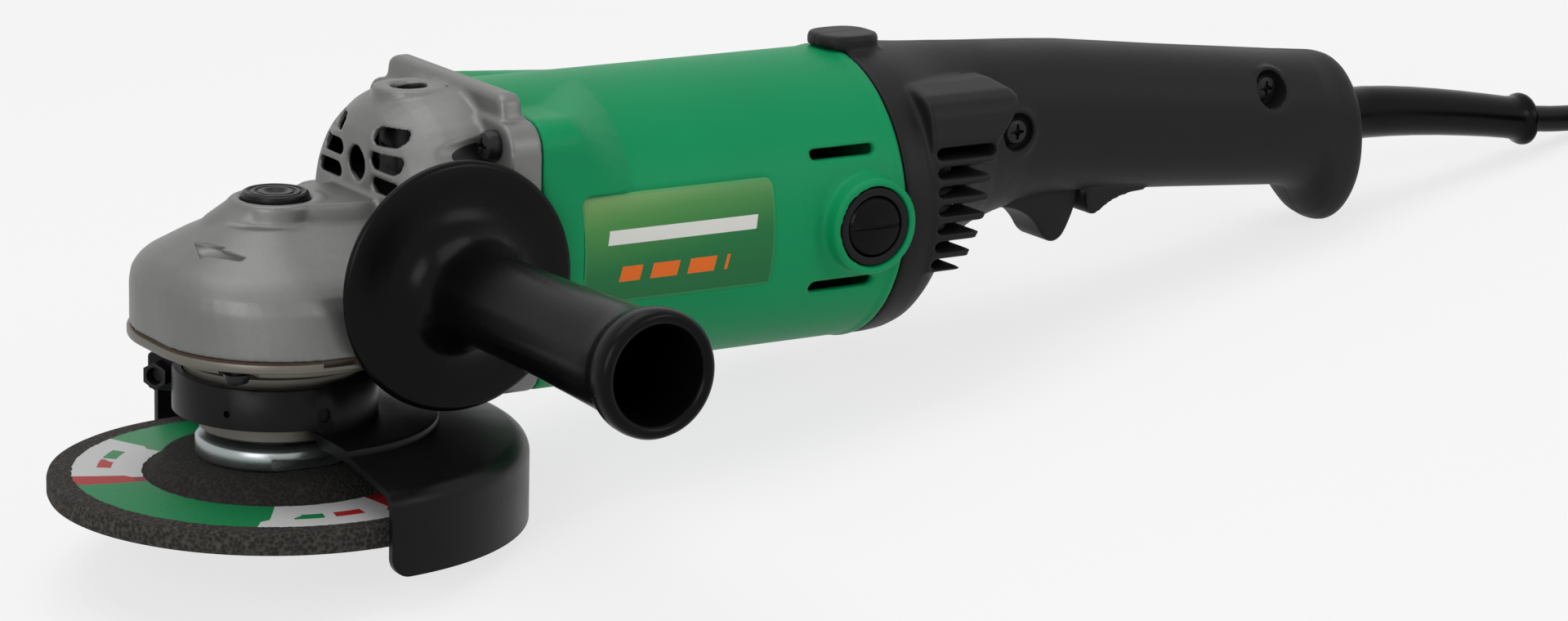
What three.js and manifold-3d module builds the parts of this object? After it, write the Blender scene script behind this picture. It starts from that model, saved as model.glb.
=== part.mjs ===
// An angle grinder for a 125 mm depressed-centre wheel, as separate named solids.
// Millimetres, +Z up. The tool's own axes start where the spindle and motor axes cross: the motor runs
// along +X to the rear handle, the spindle points along -Z and the side handle along -Y.
// The whole tool is then tilted until it rests on its guard and on the hook of its rear handle.
import * as THREE from "three";
import { mergeVertices } from "three/addons/utils/BufferGeometryUtils.js";
import { ConvexGeometry } from "three/addons/geometries/ConvexGeometry.js";
import { ParametricGeometry } from "three/addons/geometries/ParametricGeometry.js";
import Module from "manifold-3d";

const wasm = await Module();
wasm.setup();

// ---- Driving dimensions ----
const GAP = 0.3; // between pieces that touch

// Gear housing: nose round the spindle, domed air duct, and the square flange that meets the motor.
const NOSE = { front: -37.2, back: 40, halfWidth: 41.8, corner: 34, joint: -20.5 };
const ROOF = { ridge: 14, bossRadius: 13.2, bossTop: 17.3 };
const DOME = { front: 24.5, back: 50, top: 43.5, flat: 42.6, bottom: -12, wall: 3.5 };
const FLANGE = { front: 50, back: 60, halfWidth: 42, halfHeight: 38, corner: 8 };
const RIDGE = { front: 52, back: 58, top: 45, halfWidth: 35 };
const SIDE_SOCKET = { x: 32.4, z: -3.3, face: 42.4, radius: 5.1, depth: 15, bossRadius: 12 };
const TOP_SOCKET = { x: 40.7, depth: 14 };

// Spindle stack, measured down from the housing joint.
const RETAINER = { plate: 4, neckRadius: 25, neckLength: 18.8, collarRadius: 21, collarLength: 5 };
const LOWER_BEARING = { outer: 17.5, bore: 7.8, width: 11 };
const UPPER_BEARING = { outer: 9, bore: 6, width: 7, bottom: -4 };
const THREAD_RADIUS = 7;
const WASHER = { radius: 22, thickness: 6.2, pilotRadius: 10.8, pilotLength: 3, dropBelowCollar: 1.6 };
const WHEEL = { radius: 62.5, thickness: 6.4, hubRadius: 30, recess: 4.8, bore: 11.1 };
const NUT = { radius: 17, thickness: 5, pinHole: 2.2, pinCircle: 12 };
const SPINDLE_END_BELOW_NUT = 2;

// Guard
const GUARD = { radius: 70, wall: 2, plateTop: -46.8, rim: -74, from: -90.5, to: 93, sides: 36 };
const HOOD = { slopeFrom: 44.5, drop: 3.4, shoulder: 5.5 };
const BAND = {
  top: -31.6, bottom: -43.2, wall: 3, split: 2.5, earAngle: 125, earReach: 10, earThickness: 2.6,
};
const BASE_RADIUS = 45;

// Bevel gears: both pitch cones meet where the axes cross.
const GEARS = { pinionTeeth: 12, ringTeeth: 37, ringPitchRadius: 28, face: 8.5, toothShare: 0.36 };
const PINION_HUB = 6.8;

// Motor
const MOTOR = { radius: 42.4, wall: 3, end: 179, cornerEnd: 72, blendEnd: 92, sides: 32 };
const FRONT_BEARING = { outer: 16, bore: 6, from: 36, width: 10 };
const REAR_BEARING = { outer: 11, bore: 4, from: 181, width: 7 };
const CORE = { radius: 24.5, from: 84, to: 140, slots: 12 };
const COMMUTATOR = { radius: 13, from: 156, to: 175.5, bars: 16 };
const STATOR = { radius: 38.7, bore: 25.5, from: 82, to: 142 };
const FAN = { radius: 33, from: 50.5, to: 61.5, blades: 11 };
const BRUSH = { x: 165, width: 6.4, height: 12.4, length: 17, cap: 8.6 };
const COLLAR = { radius: 13.9, face: 48, ring: 11.2 };
const LABEL = { from: 73, to: 135, low: -15, high: 16, depth: 0.5 };

// Fasteners: shank radius, head radius and head height.
const RETAINER_SCREW = { x: 25.1, y: 27.4, shank: 2, head: 3.6, headHeight: 3, length: 13 };
const FLANGE_SCREW = { y: 32.5, z: 31.5, shank: 2.2, head: 4.3, headHeight: 4, length: 21 };
const HANDLE_SCREW = { shank: 1.7, head: 3.6, headHeight: 2.6 };

// Lock button. The free part of its travel ends where the tongue meets the spindle.
const LOCK = { radius: 8.5, travel: 4, free: 1.8, top: 18.6, floor: 9, stem: 4.15, tongue: 2.2, wire: 0.6 };

// Side handle, measured outwards from its seat on the housing
const SIDE_HANDLE = { discRadius: 34.6, discThickness: 3, length: 107, neck: 13, grip: 14.6, bead: 17.05 };

// Rear handle: stations of its outer skin along X, with half width, top and bottom.
const SHELL = { wall: 3, start: MOTOR.end + GAP };
const STATIONS = [
  { x: SHELL.start, w: MOTOR.radius, top: MOTOR.radius, bottom: -MOTOR.radius },
  { x: 191, w: 42.8, top: 42.8, bottom: -42.8 },
  { x: 208, w: 40, top: 42, bottom: -40 },
  { x: 217, w: 36, top: 41.3, bottom: -36 },
  { x: 226, w: 30.5, top: 40.6, bottom: -30 },
  { x: 234, w: 25.5, top: 39.9, bottom: -20 },
  { x: 243, w: 22, top: 39.1, bottom: -10.2 },
  { x: 262, w: 20.5, top: 37.7, bottom: -9.6 },
  { x: 300, w: 20, top: 33, bottom: -10.8 },
  { x: 342, w: 20, top: 28, bottom: -14.2 },
  { x: 347, w: 19.6, top: 27.2, bottom: -18.6 },
  { x: 352, w: 19.3, top: 26.4, bottom: -25 },
  { x: 361, w: 18.7, top: 25, bottom: -27.7 },
  { x: 367, w: 17.5, top: 20.5, bottom: -25 },
  { x: 370, w: 15.5, top: 13, bottom: -18 },
];
const HOOK = STATIONS.at(-3);
const PAD = { to: 192, top: 46.6, halfWidth: 9 };
const TRIGGER = { pivotX: 233, pivotZ: -6, halfWidth: 7.6, side: 0.7 };
const VENTS = { count: 7, from: 188, to: 213, top: 16, pitch: 7.6, height: 2.4 };
const HANDLE_SCREWS = [
  { x: 231, z: 16.5, seat: 22 },
  { x: 329.5, z: 19.5, seat: 14 },
];

// Cord guard, cord and plug
const CORD_GUARD = { start: 361, end: 447, root: 8.2, tip: 6.8, bead: 8.4, exitZ: 5, endZ: -3.4 };
const CORD = { radius: 4.25, sides: 8 };
const COIL = { x: 330, y: -20.6, inner: 31, outer: 65, height: 17 };
// Hand-chosen points of the cord where it isn't coiled, in the finished frame.
const CORD_LEAD = [
  [257.6, 40.2, 10.3],
  [266, 40.2, 8.1],
  [275, 40.2, 6.1],
  [285, 40.2, 4.7],
  [295.6, 40.2, 4.3],
];
const CORD_TAIL = [
  [391, -55.5, 9.8],
  [391.2, -66, 8.7],
  [391.4, -76, 8.4],
  [391.5, -85, 8.5],
];
const PLUG = { x: 391.5, y: -85.3, z: 8.5, neck: 12, length: 27, halfWidth: 13, halfHeight: 8.4 };
const BLADE = { length: 16, width: 6.3, thickness: 1.5, spacing: 12.7 };

// ---- Solids from three.js geometry ----

// A closed geometry as a solid that can be joined and cut.
function solid(geometry) {
  const bare = geometry.index ? geometry.toNonIndexed() : geometry.clone();
  bare.deleteAttribute("normal");
  bare.deleteAttribute("uv");
  const merged = mergeVertices(bare, 1e-4);
  const vertProperties = merged.attributes.position.array;
  const triVerts = new Uint32Array(merged.index.array);
  const made = new wasm.Manifold(new wasm.Mesh({ numProp: 3, vertProperties, triVerts }));
  if (made.volume() > 0) return made;
  return new wasm.Manifold(new wasm.Mesh({ numProp: 3, vertProperties, triVerts: triVerts.reverse() }));
}

const join = (...solids) => solids.reduce((whole, piece) => whole.add(piece));
const cut = (whole, ...tools) => tools.reduce((left, tool) => left.subtract(tool), whole);

// Where a shape drawn along its own +Z goes, for each axis of the tool.
const AIM = {
  x: new THREE.Matrix4().makeBasis(
    new THREE.Vector3(0, 1, 0),
    new THREE.Vector3(0, 0, 1),
    new THREE.Vector3(1, 0, 0),
  ),
  y: new THREE.Matrix4().makeBasis(
    new THREE.Vector3(0, 0, 1),
    new THREE.Vector3(1, 0, 0),
    new THREE.Vector3(0, 1, 0),
  ),
  z: new THREE.Matrix4(),
};

// A turned piece: profile points are [radius, distance along the axis].
function turned(profile, axis, at = [0, 0, 0], sides = 24, start = 0) {
  const points = profile.map(([radius, along]) => new THREE.Vector2(radius, along));
  const geometry = new THREE.LatheGeometry(points, sides, start);
  geometry.rotateX(Math.PI / 2).applyMatrix4(AIM[axis]).translate(...at);
  return solid(geometry);
}

const rod = (radius, from, to, axis, at, sides = 16) =>
  turned([[0, from], [radius, from], [radius, to], [0, to]], axis, at, sides);

const ring = (outer, inner, from, to, axis, at, sides = 24) =>
  turned([[inner, from], [outer, from], [outer, to], [inner, to], [inner, from]], axis, at, sides);

// A straight prism of an outline, drawn as (y, z) for axis x, (z, x) for axis y and (x, y) for axis z.
function prism(shape, from, to, axis) {
  const geometry = new THREE.ExtrudeGeometry(shape, {
    depth: to - from,
    bevelEnabled: false,
    curveSegments: 3,
  });
  geometry.translate(0, 0, from).applyMatrix4(AIM[axis]);
  return solid(geometry);
}

function box(x0, x1, y0, y1, z0, z1) {
  const geometry = new THREE.BoxGeometry(x1 - x0, y1 - y0, z1 - z0);
  geometry.translate((x0 + x1) / 2, (y0 + y1) / 2, (z0 + z1) / 2);
  return solid(geometry);
}

const outline = (points) => new THREE.Shape(points.map(([u, v]) => new THREE.Vector2(u, v)));

function roundedRectangle(u0, u1, v0, v1, radius) {
  const shape = new THREE.Shape();
  shape.absarc(u1 - radius, v1 - radius, radius, 0, Math.PI / 2);
  shape.absarc(u0 + radius, v1 - radius, radius, Math.PI / 2, Math.PI);
  shape.absarc(u0 + radius, v0 + radius, radius, Math.PI, 1.5 * Math.PI);
  shape.absarc(u1 - radius, v0 + radius, radius, 1.5 * Math.PI, 2 * Math.PI);
  return shape;
}

const hexagon = (radius) =>
  outline([0, 1, 2, 3, 4, 5].map((k) => [
    radius * Math.cos((k * Math.PI) / 3),
    radius * Math.sin((k * Math.PI) / 3),
  ]));

const hull = (points) => solid(new ConvexGeometry(points));

// The corner points of an outline, lifted to a place along an axis, for a hull.
function lifted(shape, along, axis, steps = 3) {
  return shape
    .extractPoints(steps)
    .shape.map((p) => new THREE.Vector3(p.x, p.y, along).applyMatrix4(AIM[axis]));
}

// A skin through rings of points, closed at both ends.
function loft(rings) {
  const centre = (points) =>
    points.map(() => points.reduce((sum, p) => sum.add(p), new THREE.Vector3()).divideScalar(points.length));
  const rows = [centre(rings[0]), ...rings, centre(rings.at(-1))];
  const around = rings[0].length;
  const place = (u, v, target) =>
    target.copy(rows[Math.round(v * (rows.length - 1))][Math.round(u * around) % around]);
  return solid(new ParametricGeometry(place, around, rows.length - 1));
}

// A round bar along a curve.
function bar(curve, radius, steps, sides) {
  const section = outline(
    Array.from({ length: sides }, (_, k) => [
      radius * Math.cos((2 * Math.PI * k) / sides),
      radius * Math.sin((2 * Math.PI * k) / sides),
    ]),
  );
  return solid(new THREE.ExtrudeGeometry(section, { steps, extrudePath: curve }));
}

class Helix extends THREE.Curve {
  constructor(radius, height, turns) {
    super();
    Object.assign(this, { radius, height, turns });
  }
  getPoint(t, target = new THREE.Vector3()) {
    const angle = 2 * Math.PI * this.turns * t;
    return target.set(this.radius * Math.cos(angle), this.radius * Math.sin(angle), this.height * t);
  }
}

// A cross-head screw: its head's outer face at `face`, its shank running on along the axis.
function screw(size, axis, at, face, sign) {
  const seat = face + sign * size.headHeight;
  const tip = seat + sign * size.length;
  const order = (a, b) => [Math.min(a, b), Math.max(a, b)];
  const head = rod(size.head, ...order(face, seat), axis, at, 10);
  const shank = rod(size.shank, ...order(seat - sign * 0.5, tip), axis, at, 6);
  const slot = rod(size.head * 0.35, ...order(face - sign, face + sign * 1.2), axis, at, 4);
  return cut(join(head, shank), slot);
}

// ---- Places worked out from the driving dimensions ----
const plateTop = NOSE.joint - GAP;
const plateBottom = plateTop - RETAINER.plate;
const neckBottom = plateBottom - RETAINER.neckLength;
const collarBottom = neckBottom - RETAINER.collarLength;
const washerTop = collarBottom - WASHER.dropBelowCollar;
const washerBottom = washerTop - WASHER.thickness;
const hubTop = washerBottom - GAP;
const hubBottom = hubTop - WHEEL.thickness;
const nutTop = hubBottom - GAP;
const nutBottom = nutTop - NUT.thickness;
const spindleEnd = nutBottom - SPINDLE_END_BELOW_NUT;
const bearingTop = plateTop - GAP;
const bearingBottom = bearingTop - LOWER_BEARING.width;
const gearBottom = bearingTop + GAP;
const upperBearingTop = UPPER_BEARING.bottom + UPPER_BEARING.width;
const spindleTop = upperBearingTop + 1.5;

const pinionAngle = Math.atan(GEARS.pinionTeeth / GEARS.ringTeeth);
const coneLength = GEARS.ringPitchRadius / Math.cos(pinionAngle);
const gearModule = (2 * GEARS.ringPitchRadius) / GEARS.ringTeeth;
const coneInner = (coneLength - GEARS.face) / coneLength;
const pinionBack = GEARS.ringPitchRadius;
const pinionFront = pinionBack * coneInner;
const gearRadius = GEARS.ringPitchRadius + 1;
const chamberRadius = gearRadius + 2.5;
const carrierRadius = FRONT_BEARING.outer + 3.2;
const motorBore = MOTOR.radius - MOTOR.wall;
const sideSeat = -(SIDE_SOCKET.face + GAP + 0.5);

const FINISH = {
  casting: { color: 0x8f9093, roughness: 0.55, metalness: 0.6 },
  machined: { color: 0xa8a7a3, roughness: 0.35, metalness: 0.9 },
  steel: { color: 0x9a9ca0, roughness: 0.3, metalness: 1 },
  blackSteel: { color: 0x151515, roughness: 0.4, metalness: 0.6 },
  blackPlastic: { color: 0x161616, roughness: 0.5, metalness: 0 },
  glossyRubber: { color: 0x131313, roughness: 0.3, metalness: 0 },
  greenPlastic: { color: 0x0e8a4b, roughness: 0.45, metalness: 0 },
  abrasive: { color: 0x2b2724, roughness: 0.95, metalness: 0 },
  copper: { color: 0xb06a3a, roughness: 0.4, metalness: 0.9 },
  brass: { color: 0xc2a25a, roughness: 0.35, metalness: 0.9 },
  carbon: { color: 0x202020, roughness: 0.8, metalness: 0 },
  label: { color: 0x3f9a3a, roughness: 0.35, metalness: 0 },
};

const tool = new THREE.Group();
const group = new THREE.Group();
group.add(tool);

function add(name, body, finish, parent = tool) {
  const made = body.getMesh();
  const geometry = new THREE.BufferGeometry();
  geometry.setAttribute("position", new THREE.BufferAttribute(made.vertProperties, 3));
  geometry.setIndex(new THREE.BufferAttribute(made.triVerts, 1));
  geometry.computeVertexNormals();
  const mesh = new THREE.Mesh(geometry, new THREE.MeshStandardMaterial(FINISH[finish]));
  mesh.name = name;
  parent.add(mesh);
}

// ---- Gear housing ----
function noseBody() {
  const levels = [
    { z: NOSE.joint, front: NOSE.front, half: NOSE.halfWidth, corner: NOSE.corner },
    { z: -4, front: NOSE.front - 0.8, half: NOSE.halfWidth - 4.5, corner: 31 },
    { z: 3, front: NOSE.front + 2.4, half: NOSE.halfWidth - 12.5, corner: 25 },
    { z: ROOF.ridge, front: -ROOF.bossRadius - 2, half: ROOF.bossRadius, corner: 8 },
  ];
  const points = levels.flatMap(({ z, front, half, corner }) => [
    ...lifted(roundedRectangle(front, NOSE.back, -half, half, corner), z, "z", 5),
    ...lifted(roundedRectangle(0, NOSE.back, -half, half, corner / 2), z, "z", 3),
  ]);
  return hull(points);
}

const domeSections = [
  { x: DOME.front, centre: 8, radius: DOME.top - 19 },
  { x: DOME.front + 5.5, centre: 6, radius: DOME.top - 10.5 },
  { x: DOME.front + 13, centre: 4, radius: DOME.top - 4.6 },
  { x: DOME.back, centre: 3, radius: DOME.top - 2.5 },
];

function domeBody(inset, from, to) {
  const points = domeSections.flatMap(({ x, centre, radius }, k) => {
    const place = k === 0 ? x + from : k === domeSections.length - 1 ? x + to : x;
    const circle = new THREE.Shape().absarc(0, centre, radius - inset, 0, 2 * Math.PI);
    return lifted(circle, place, "x", 16);
  });
  return hull(points.map((p) => p.setZ(THREE.MathUtils.clamp(p.z, DOME.bottom, DOME.flat - inset))));
}

function flangeBody() {
  const { halfWidth, halfHeight, corner } = FLANGE;
  const square = roundedRectangle(-halfWidth, halfWidth, -halfHeight, halfHeight, corner);
  const plate = prism(square, FLANGE.front, FLANGE.back - GAP, "x");
  const foot = FLANGE.halfHeight - 6;
  const bar = outline([
    [-RIDGE.halfWidth, foot],
    [RIDGE.halfWidth, foot],
    [RIDGE.halfWidth - 4, RIDGE.top],
    [-RIDGE.halfWidth + 4, RIDGE.top],
  ]);
  return join(plate, prism(bar, RIDGE.front, RIDGE.back, "x"));
}

function domeVents() {
  const rows = [
    { z: 32, inner: 8.5, outer: 19, height: 5 },
    { z: 25.3, inner: 8, outer: 22, height: 4.6 },
    { z: 18.6, inner: 9, outer: 22.5, height: 4.2 },
  ];
  return rows.flatMap(({ z, inner, outer, height }) =>
    [1, -1].map((side) => {
      const [low, high] = side > 0 ? [inner, outer] : [-outer, -inner];
      return box(15, DOME.front + 13.5, low, high, z - height / 2, z + height / 2);
    }));
}

function gearHousing() {
  const { x, z, face, radius, depth, bossRadius } = SIDE_SOCKET;
  const bosses = [1, -1].map((side) => {
    const [from, to] = [side * 20, side * face].sort((a, b) => a - b);
    return rod(bossRadius, from, to, "y", [x, 0, z], 20);
  });
  const belly = hull([
    ...lifted(roundedRectangle(-34, 34, NOSE.joint, 10, 6), NOSE.back - 2, "x", 2),
    ...lifted(roundedRectangle(-38, 38, -34, 10, 6), FLANGE.front + 1, "x", 2),
  ]);
  const boss = turned([[0, 5], [17, 5], [ROOF.bossRadius, ROOF.bossTop], [0, ROOF.bossTop]], "z");
  const topBoss = rod(10, 25, DOME.flat, "z", [TOP_SOCKET.x, 0, 0]);
  const outside = join(noseBody(), domeBody(0, 0, 0), flangeBody(), belly, boss, topBoss, ...bosses);

  const chamberTop = 2;
  const chamber = turned([
    [0, NOSE.joint - 1], [chamberRadius, NOSE.joint - 1], [chamberRadius, -6],
    [chamberRadius - 8, chamberTop], [0, chamberTop],
  ], "z");
  const bearingBoss = rod(UPPER_BEARING.outer + 2.6, UPPER_BEARING.bottom - 0.2, 8, "z");
  const bearingBore = rod(UPPER_BEARING.outer + GAP, UPPER_BEARING.bottom - 1, upperBearingTop + GAP, "z");
  const stemHole = rod(LOCK.stem + 0.5, 2, 12, "z");
  const endRoom = rod(UPPER_BEARING.bore + 0.3, 2, spindleTop + 0.6, "z");
  const pocket = rod(LOCK.radius + GAP, LOCK.floor, 30, "z", [0, 0, 0], 24);

  const pinionRoom = rod(12.4, 12.3, FRONT_BEARING.from - 3, "x");
  const shaftHole = rod(8.5, 30, 60, "x");
  const bearingSeat = rod(FRONT_BEARING.outer + GAP, FRONT_BEARING.from - GAP, 60, "x", [0, 0, 0], 24);
  const fanRoom = rod(FAN.radius + 1.5, FRONT_BEARING.from + FRONT_BEARING.width + 1, 61, "x", [0, 0, 0], 32);
  const carrier = rod(carrierRadius, 0, FRONT_BEARING.from + FRONT_BEARING.width + 1, "x");
  const socketWall = rod(SIDE_SOCKET.radius + 3, 20, 60, "z", [TOP_SOCKET.x, 0, 0]);
  const floor = box(0, FLANGE.front - 2, -60, 60, -60, 15.5);
  const duct = cut(domeBody(DOME.wall, DOME.wall, -2), carrier, floor, socketWall);

  const sockets = [1, -1].map((side) => {
    const [from, to] = [side * (face - depth), side * (face + 5)].sort((a, b) => a - b);
    return rod(radius, from, to, "y", [x, 0, z], 16);
  });
  const topSocket = rod(radius, DOME.flat - TOP_SOCKET.depth, 60, "z", [TOP_SOCKET.x, 0, 0], 16);
  const frontBore = rod(4.8, 15, DOME.front + DOME.wall + 6, "x", [0, 0, 22.5], 16);
  const screwHoles = retainerScrewPlaces.map(([sx, sy]) =>
    rod(RETAINER_SCREW.shank + GAP, NOSE.joint - 1, NOSE.joint + 9.5, "z", [sx, sy, 0], 10));
  const flangeHoles = flangeScrewPlaces.flatMap(([y, sz]) => [
    rod(FLANGE_SCREW.shank + GAP, 40, 61, "x", [0, y, sz], 10),
    rod(FLANGE_SCREW.head + 1, 28, FLANGE.front, "x", [0, y, sz], 16),
  ]);
  const room = chamber.subtract(bearingBoss);
  return cut(outside, room, bearingBore, endRoom, stemHole, pocket, pinionRoom, shaftHole, bearingSeat,
    fanRoom, duct, ...domeVents(), ...sockets, topSocket, frontBore, ...screwHoles, ...flangeHoles);
}

const corners = (a, b) => [[a, b], [a, -b], [-a, b], [-a, -b]];
const retainerScrewPlaces = corners(RETAINER_SCREW.x, RETAINER_SCREW.y);
const flangeScrewPlaces = corners(FLANGE_SCREW.y, FLANGE_SCREW.z);

function bearingRetainer() {
  const plateHalf = NOSE.halfWidth - 1;
  const plan = roundedRectangle(NOSE.front, -NOSE.front, -plateHalf, plateHalf, NOSE.corner - 1);
  const plate = prism(plan, plateBottom, plateTop, "z");
  const neck = rod(RETAINER.neckRadius, neckBottom, plateTop - 1, "z", [0, 0, 0], 32);
  const collar = rod(RETAINER.collarRadius, collarBottom, neckBottom + 1, "z", [0, 0, 0], 24);
  const seat = rod(LOWER_BEARING.outer + GAP, bearingBottom - GAP, plateTop + 1, "z", [0, 0, 0], 24);
  const bore = rod(spindleShoulder + GAP + 0.5, collarBottom - 1, plateTop, "z");
  const holes = retainerScrewPlaces.map(([x, y]) =>
    rod(RETAINER_SCREW.shank + GAP, plateBottom - 1, plateTop + 1, "z", [x, y, 0], 10));
  return cut(join(plate, neck, collar), seat, bore, ...holes);
}

// ---- Spindle group ----
const spindleShoulder = 9.7;

function spindle() {
  const seat = LOWER_BEARING.bore - GAP;
  const body = turned([
    [0, spindleEnd], [THREAD_RADIUS, spindleEnd], [THREAD_RADIUS, washerTop + GAP],
    [spindleShoulder, washerTop + GAP], [spindleShoulder, bearingBottom - GAP],
    [seat, bearingBottom - GAP], [seat, gearBottom], [seat + 0.5, gearBottom], [seat + 0.5, -8.4],
    [UPPER_BEARING.bore - GAP, -7], [UPPER_BEARING.bore - GAP, spindleTop], [0, spindleTop],
  ], "z");
  const keyway = box(-10, 10, -LOCK.tongue / 2 - 0.4, LOCK.tongue / 2 + 0.4, spindleTop - LOCK.travel, 20);
  return cut(body, keyway);
}

// One straight tooth of the ring gear, tapering towards the point where the axes meet.
function ringTooth(angle) {
  const along = new THREE.Vector2(Math.cos(pinionAngle), -Math.sin(pinionAngle));
  const outwards = new THREE.Vector2(Math.sin(pinionAngle), Math.cos(pinionAngle));
  const halfPitch = (Math.PI * gearModule * GEARS.toothShare) / 2;
  const points = [];
  for (const share of [1, coneInner]) {
    for (const [height, half] of [[-1.4, 1.4], [0.75, 0.6]]) {
      const r = share * (coneLength * along.x + height * gearModule * outwards.x);
      const z = share * (coneLength * along.y + height * gearModule * outwards.y);
      for (const side of [-1, 1]) {
        const turn = new THREE.Matrix4().makeRotationZ(angle);
        points.push(new THREE.Vector3(r, side * share * half * halfPitch, z).applyMatrix4(turn));
      }
    }
  }
  return hull(points);
}

function ringGear() {
  const bore = LOWER_BEARING.bore + 0.5;
  const rootR = GEARS.ringPitchRadius - 0.5;
  const rootZ = -coneLength * Math.sin(pinionAngle) - 1.25 * gearModule;
  const blank = turned([
    [bore, gearBottom], [14, gearBottom], [gearRadius - 2, gearBottom + 4.5], [gearRadius, rootZ - 1],
    [rootR, rootZ], [rootR * coneInner, rootZ * coneInner], [bore, rootZ * coneInner], [bore, gearBottom],
  ], "z", [0, 0, 0], GEARS.ringTeeth, Math.PI / 2);
  const pitch = (2 * Math.PI) / GEARS.ringTeeth;
  const teeth = Array.from({ length: GEARS.ringTeeth }, (_, k) => ringTooth((k + 0.5) * pitch));
  return join(blank, ...teeth);
}

function pinion() {
  const pitchRadius = (x) => x * Math.tan(pinionAngle);
  const step = (2 * Math.PI) / GEARS.pinionTeeth;
  const halfTooth = (step * GEARS.toothShare) / 2;
  const section = (x) => {
    const size = (gearModule * x) / pinionBack;
    const radii = { root: pitchRadius(x) - 1.3 * size, tip: pitchRadius(x) + 0.75 * size };
    return Array.from({ length: GEARS.pinionTeeth }, (_, k) => k * step - Math.PI / 2).flatMap((middle) =>
      [[radii.root, -1.7], [radii.tip, -0.5], [radii.tip, 0.5], [radii.root, 1.7]].map(([radius, share]) => {
        const angle = middle + share * halfTooth;
        return new THREE.Vector3(x, radius * Math.cos(angle), radius * Math.sin(angle));
      }));
  };
  const hub = rod(PINION_HUB, pinionBack - 0.2, pinionBack + 2, "x");
  const bore = rod(4.2, 10, 40, "x", [0, 0, 0], 16);
  return cut(join(loft([section(pinionFront), section(pinionBack)]), hub), bore);
}

function wheelWasher() {
  const { radius, pilotRadius } = WASHER;
  const bore = THREAD_RADIUS + GAP;
  return turned([
    [bore, washerTop], [radius - 1.4, washerTop], [radius, washerTop - 1], [radius, washerBottom],
    [pilotRadius, washerBottom], [pilotRadius, washerBottom - WASHER.pilotLength],
    [bore, washerBottom - WASHER.pilotLength], [bore, washerTop],
  ], "z");
}

function grindingWheel() {
  const { radius, bore, hubRadius, recess } = WHEEL;
  return turned([
    [bore, hubTop], [hubRadius, hubTop], [hubRadius + 5.5, hubTop - recess], [radius, hubTop - recess],
    [radius, hubBottom - recess], [hubRadius + 4.5, hubBottom - recess], [hubRadius, hubBottom],
    [bore, hubBottom], [bore, hubTop],
  ], "z", [0, 0, 0], 40);
}

function wheelNut() {
  const body = ring(NUT.radius, THREAD_RADIUS + GAP, nutBottom, nutTop, "z");
  const holes = corners(NUT.pinCircle, 0).slice(1, 3).concat(corners(0, NUT.pinCircle).slice(0, 2));
  const drilled = holes.map(([x, y]) => rod(NUT.pinHole, nutBottom - 1, nutBottom + 3, "z", [x, y, 0], 8));
  return cut(body, ...drilled);
}

// ---- Guard ----
function wedge(fromDegrees, toDegrees, reach, z0, z1) {
  const steps = 3;
  const points = [[0, 0]];
  for (let k = 0; k <= steps; k += 1) {
    const angle = THREE.MathUtils.degToRad(fromDegrees + ((toDegrees - fromDegrees) * k) / steps);
    points.push([reach * Math.cos(angle), reach * Math.sin(angle)]);
  }
  return prism(outline(points), z0, z1, "z");
}

const bandInner = RETAINER.neckRadius + GAP;
const bandOuter = bandInner + BAND.wall;
const earTurn = new THREE.Matrix4().makeRotationZ(THREE.MathUtils.degToRad(BAND.earAngle));
const atEar = (body) => body.transform(earTurn.elements);

function wheelGuard() {
  const { radius, wall, rim } = GUARD;
  const { slopeFrom, drop, shoulder } = HOOD;
  const top = GUARD.plateTop;
  const arc = (r, z, size) => [0, 1, 2].map((k) => {
    const angle = (Math.PI / 2) * (1 - k / 2);
    return [r + size * Math.cos(angle), z + size * Math.sin(angle)];
  });
  const outer = arc(radius - shoulder, top - drop - shoulder, shoulder);
  const inner = arc(radius - shoulder, top - drop - shoulder, shoulder - wall).reverse();
  const profile = [[bandInner, top], [slopeFrom, top], ...outer, [radius, rim], [radius - wall, rim],
    ...inner, [slopeFrom, top - wall], [bandInner, top - wall], [bandInner, top]];
  const sides = GUARD.sides;
  const halfSide = Math.PI / sides;
  const open = wedge(GUARD.to, 360 + GUARD.from, 120, rim - 5, top + 5);
  const hood = turned(profile, "z", [0, 0, 0], sides, halfSide);
  const baseTop = top + wall;
  const base = ring(BASE_RADIUS, bandInner, top - 0.2, baseTop, "z", [0, 0, 0], sides);
  const plate = cut(join(hood, base), open);
  const clear = wedge(GUARD.to, 360 + GUARD.from, 120, top - wall - 1, BAND.bottom);
  const band = cut(ring(bandOuter, bandInner, top - wall, BAND.top, "z", [0, 0, 0], sides), clear);
  const reach = bandOuter + BAND.earReach;
  const halfEars = BAND.split / 2 + BAND.earThickness;
  const ears = atEar(box(bandOuter - 1, reach, -halfEars, halfEars, neckBottom + 1, BAND.top - 0.5));
  const split = atEar(box(0, reach + 1, -BAND.split / 2, BAND.split / 2, top - wall - 1, BAND.top + 1));
  const hole = atEar(rod(2.5, -20, 20, "y", [clampR, 0, clampZ], 12));
  return cut(join(plate, band, ears), split, hole);
}

const clampR = bandOuter + 5.4;
const clampZ = (BAND.top + neckBottom) / 2;
const clampFace = BAND.split / 2 + BAND.earThickness + GAP;

function guardClampScrew() {
  const shank = rod(2.2, -clampFace - 1, clampFace + 4.4, "y", [clampR, 0, clampZ], 10);
  const head = rod(3.6, -clampFace - 3.2, -clampFace, "y", [clampR, 0, clampZ], 16);
  const slot = box(clampR - 5, clampR + 5, -clampFace - 5, -clampFace - 2.2, clampZ - 0.5, clampZ + 0.5);
  return atEar(cut(join(head, shank), slot));
}

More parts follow.
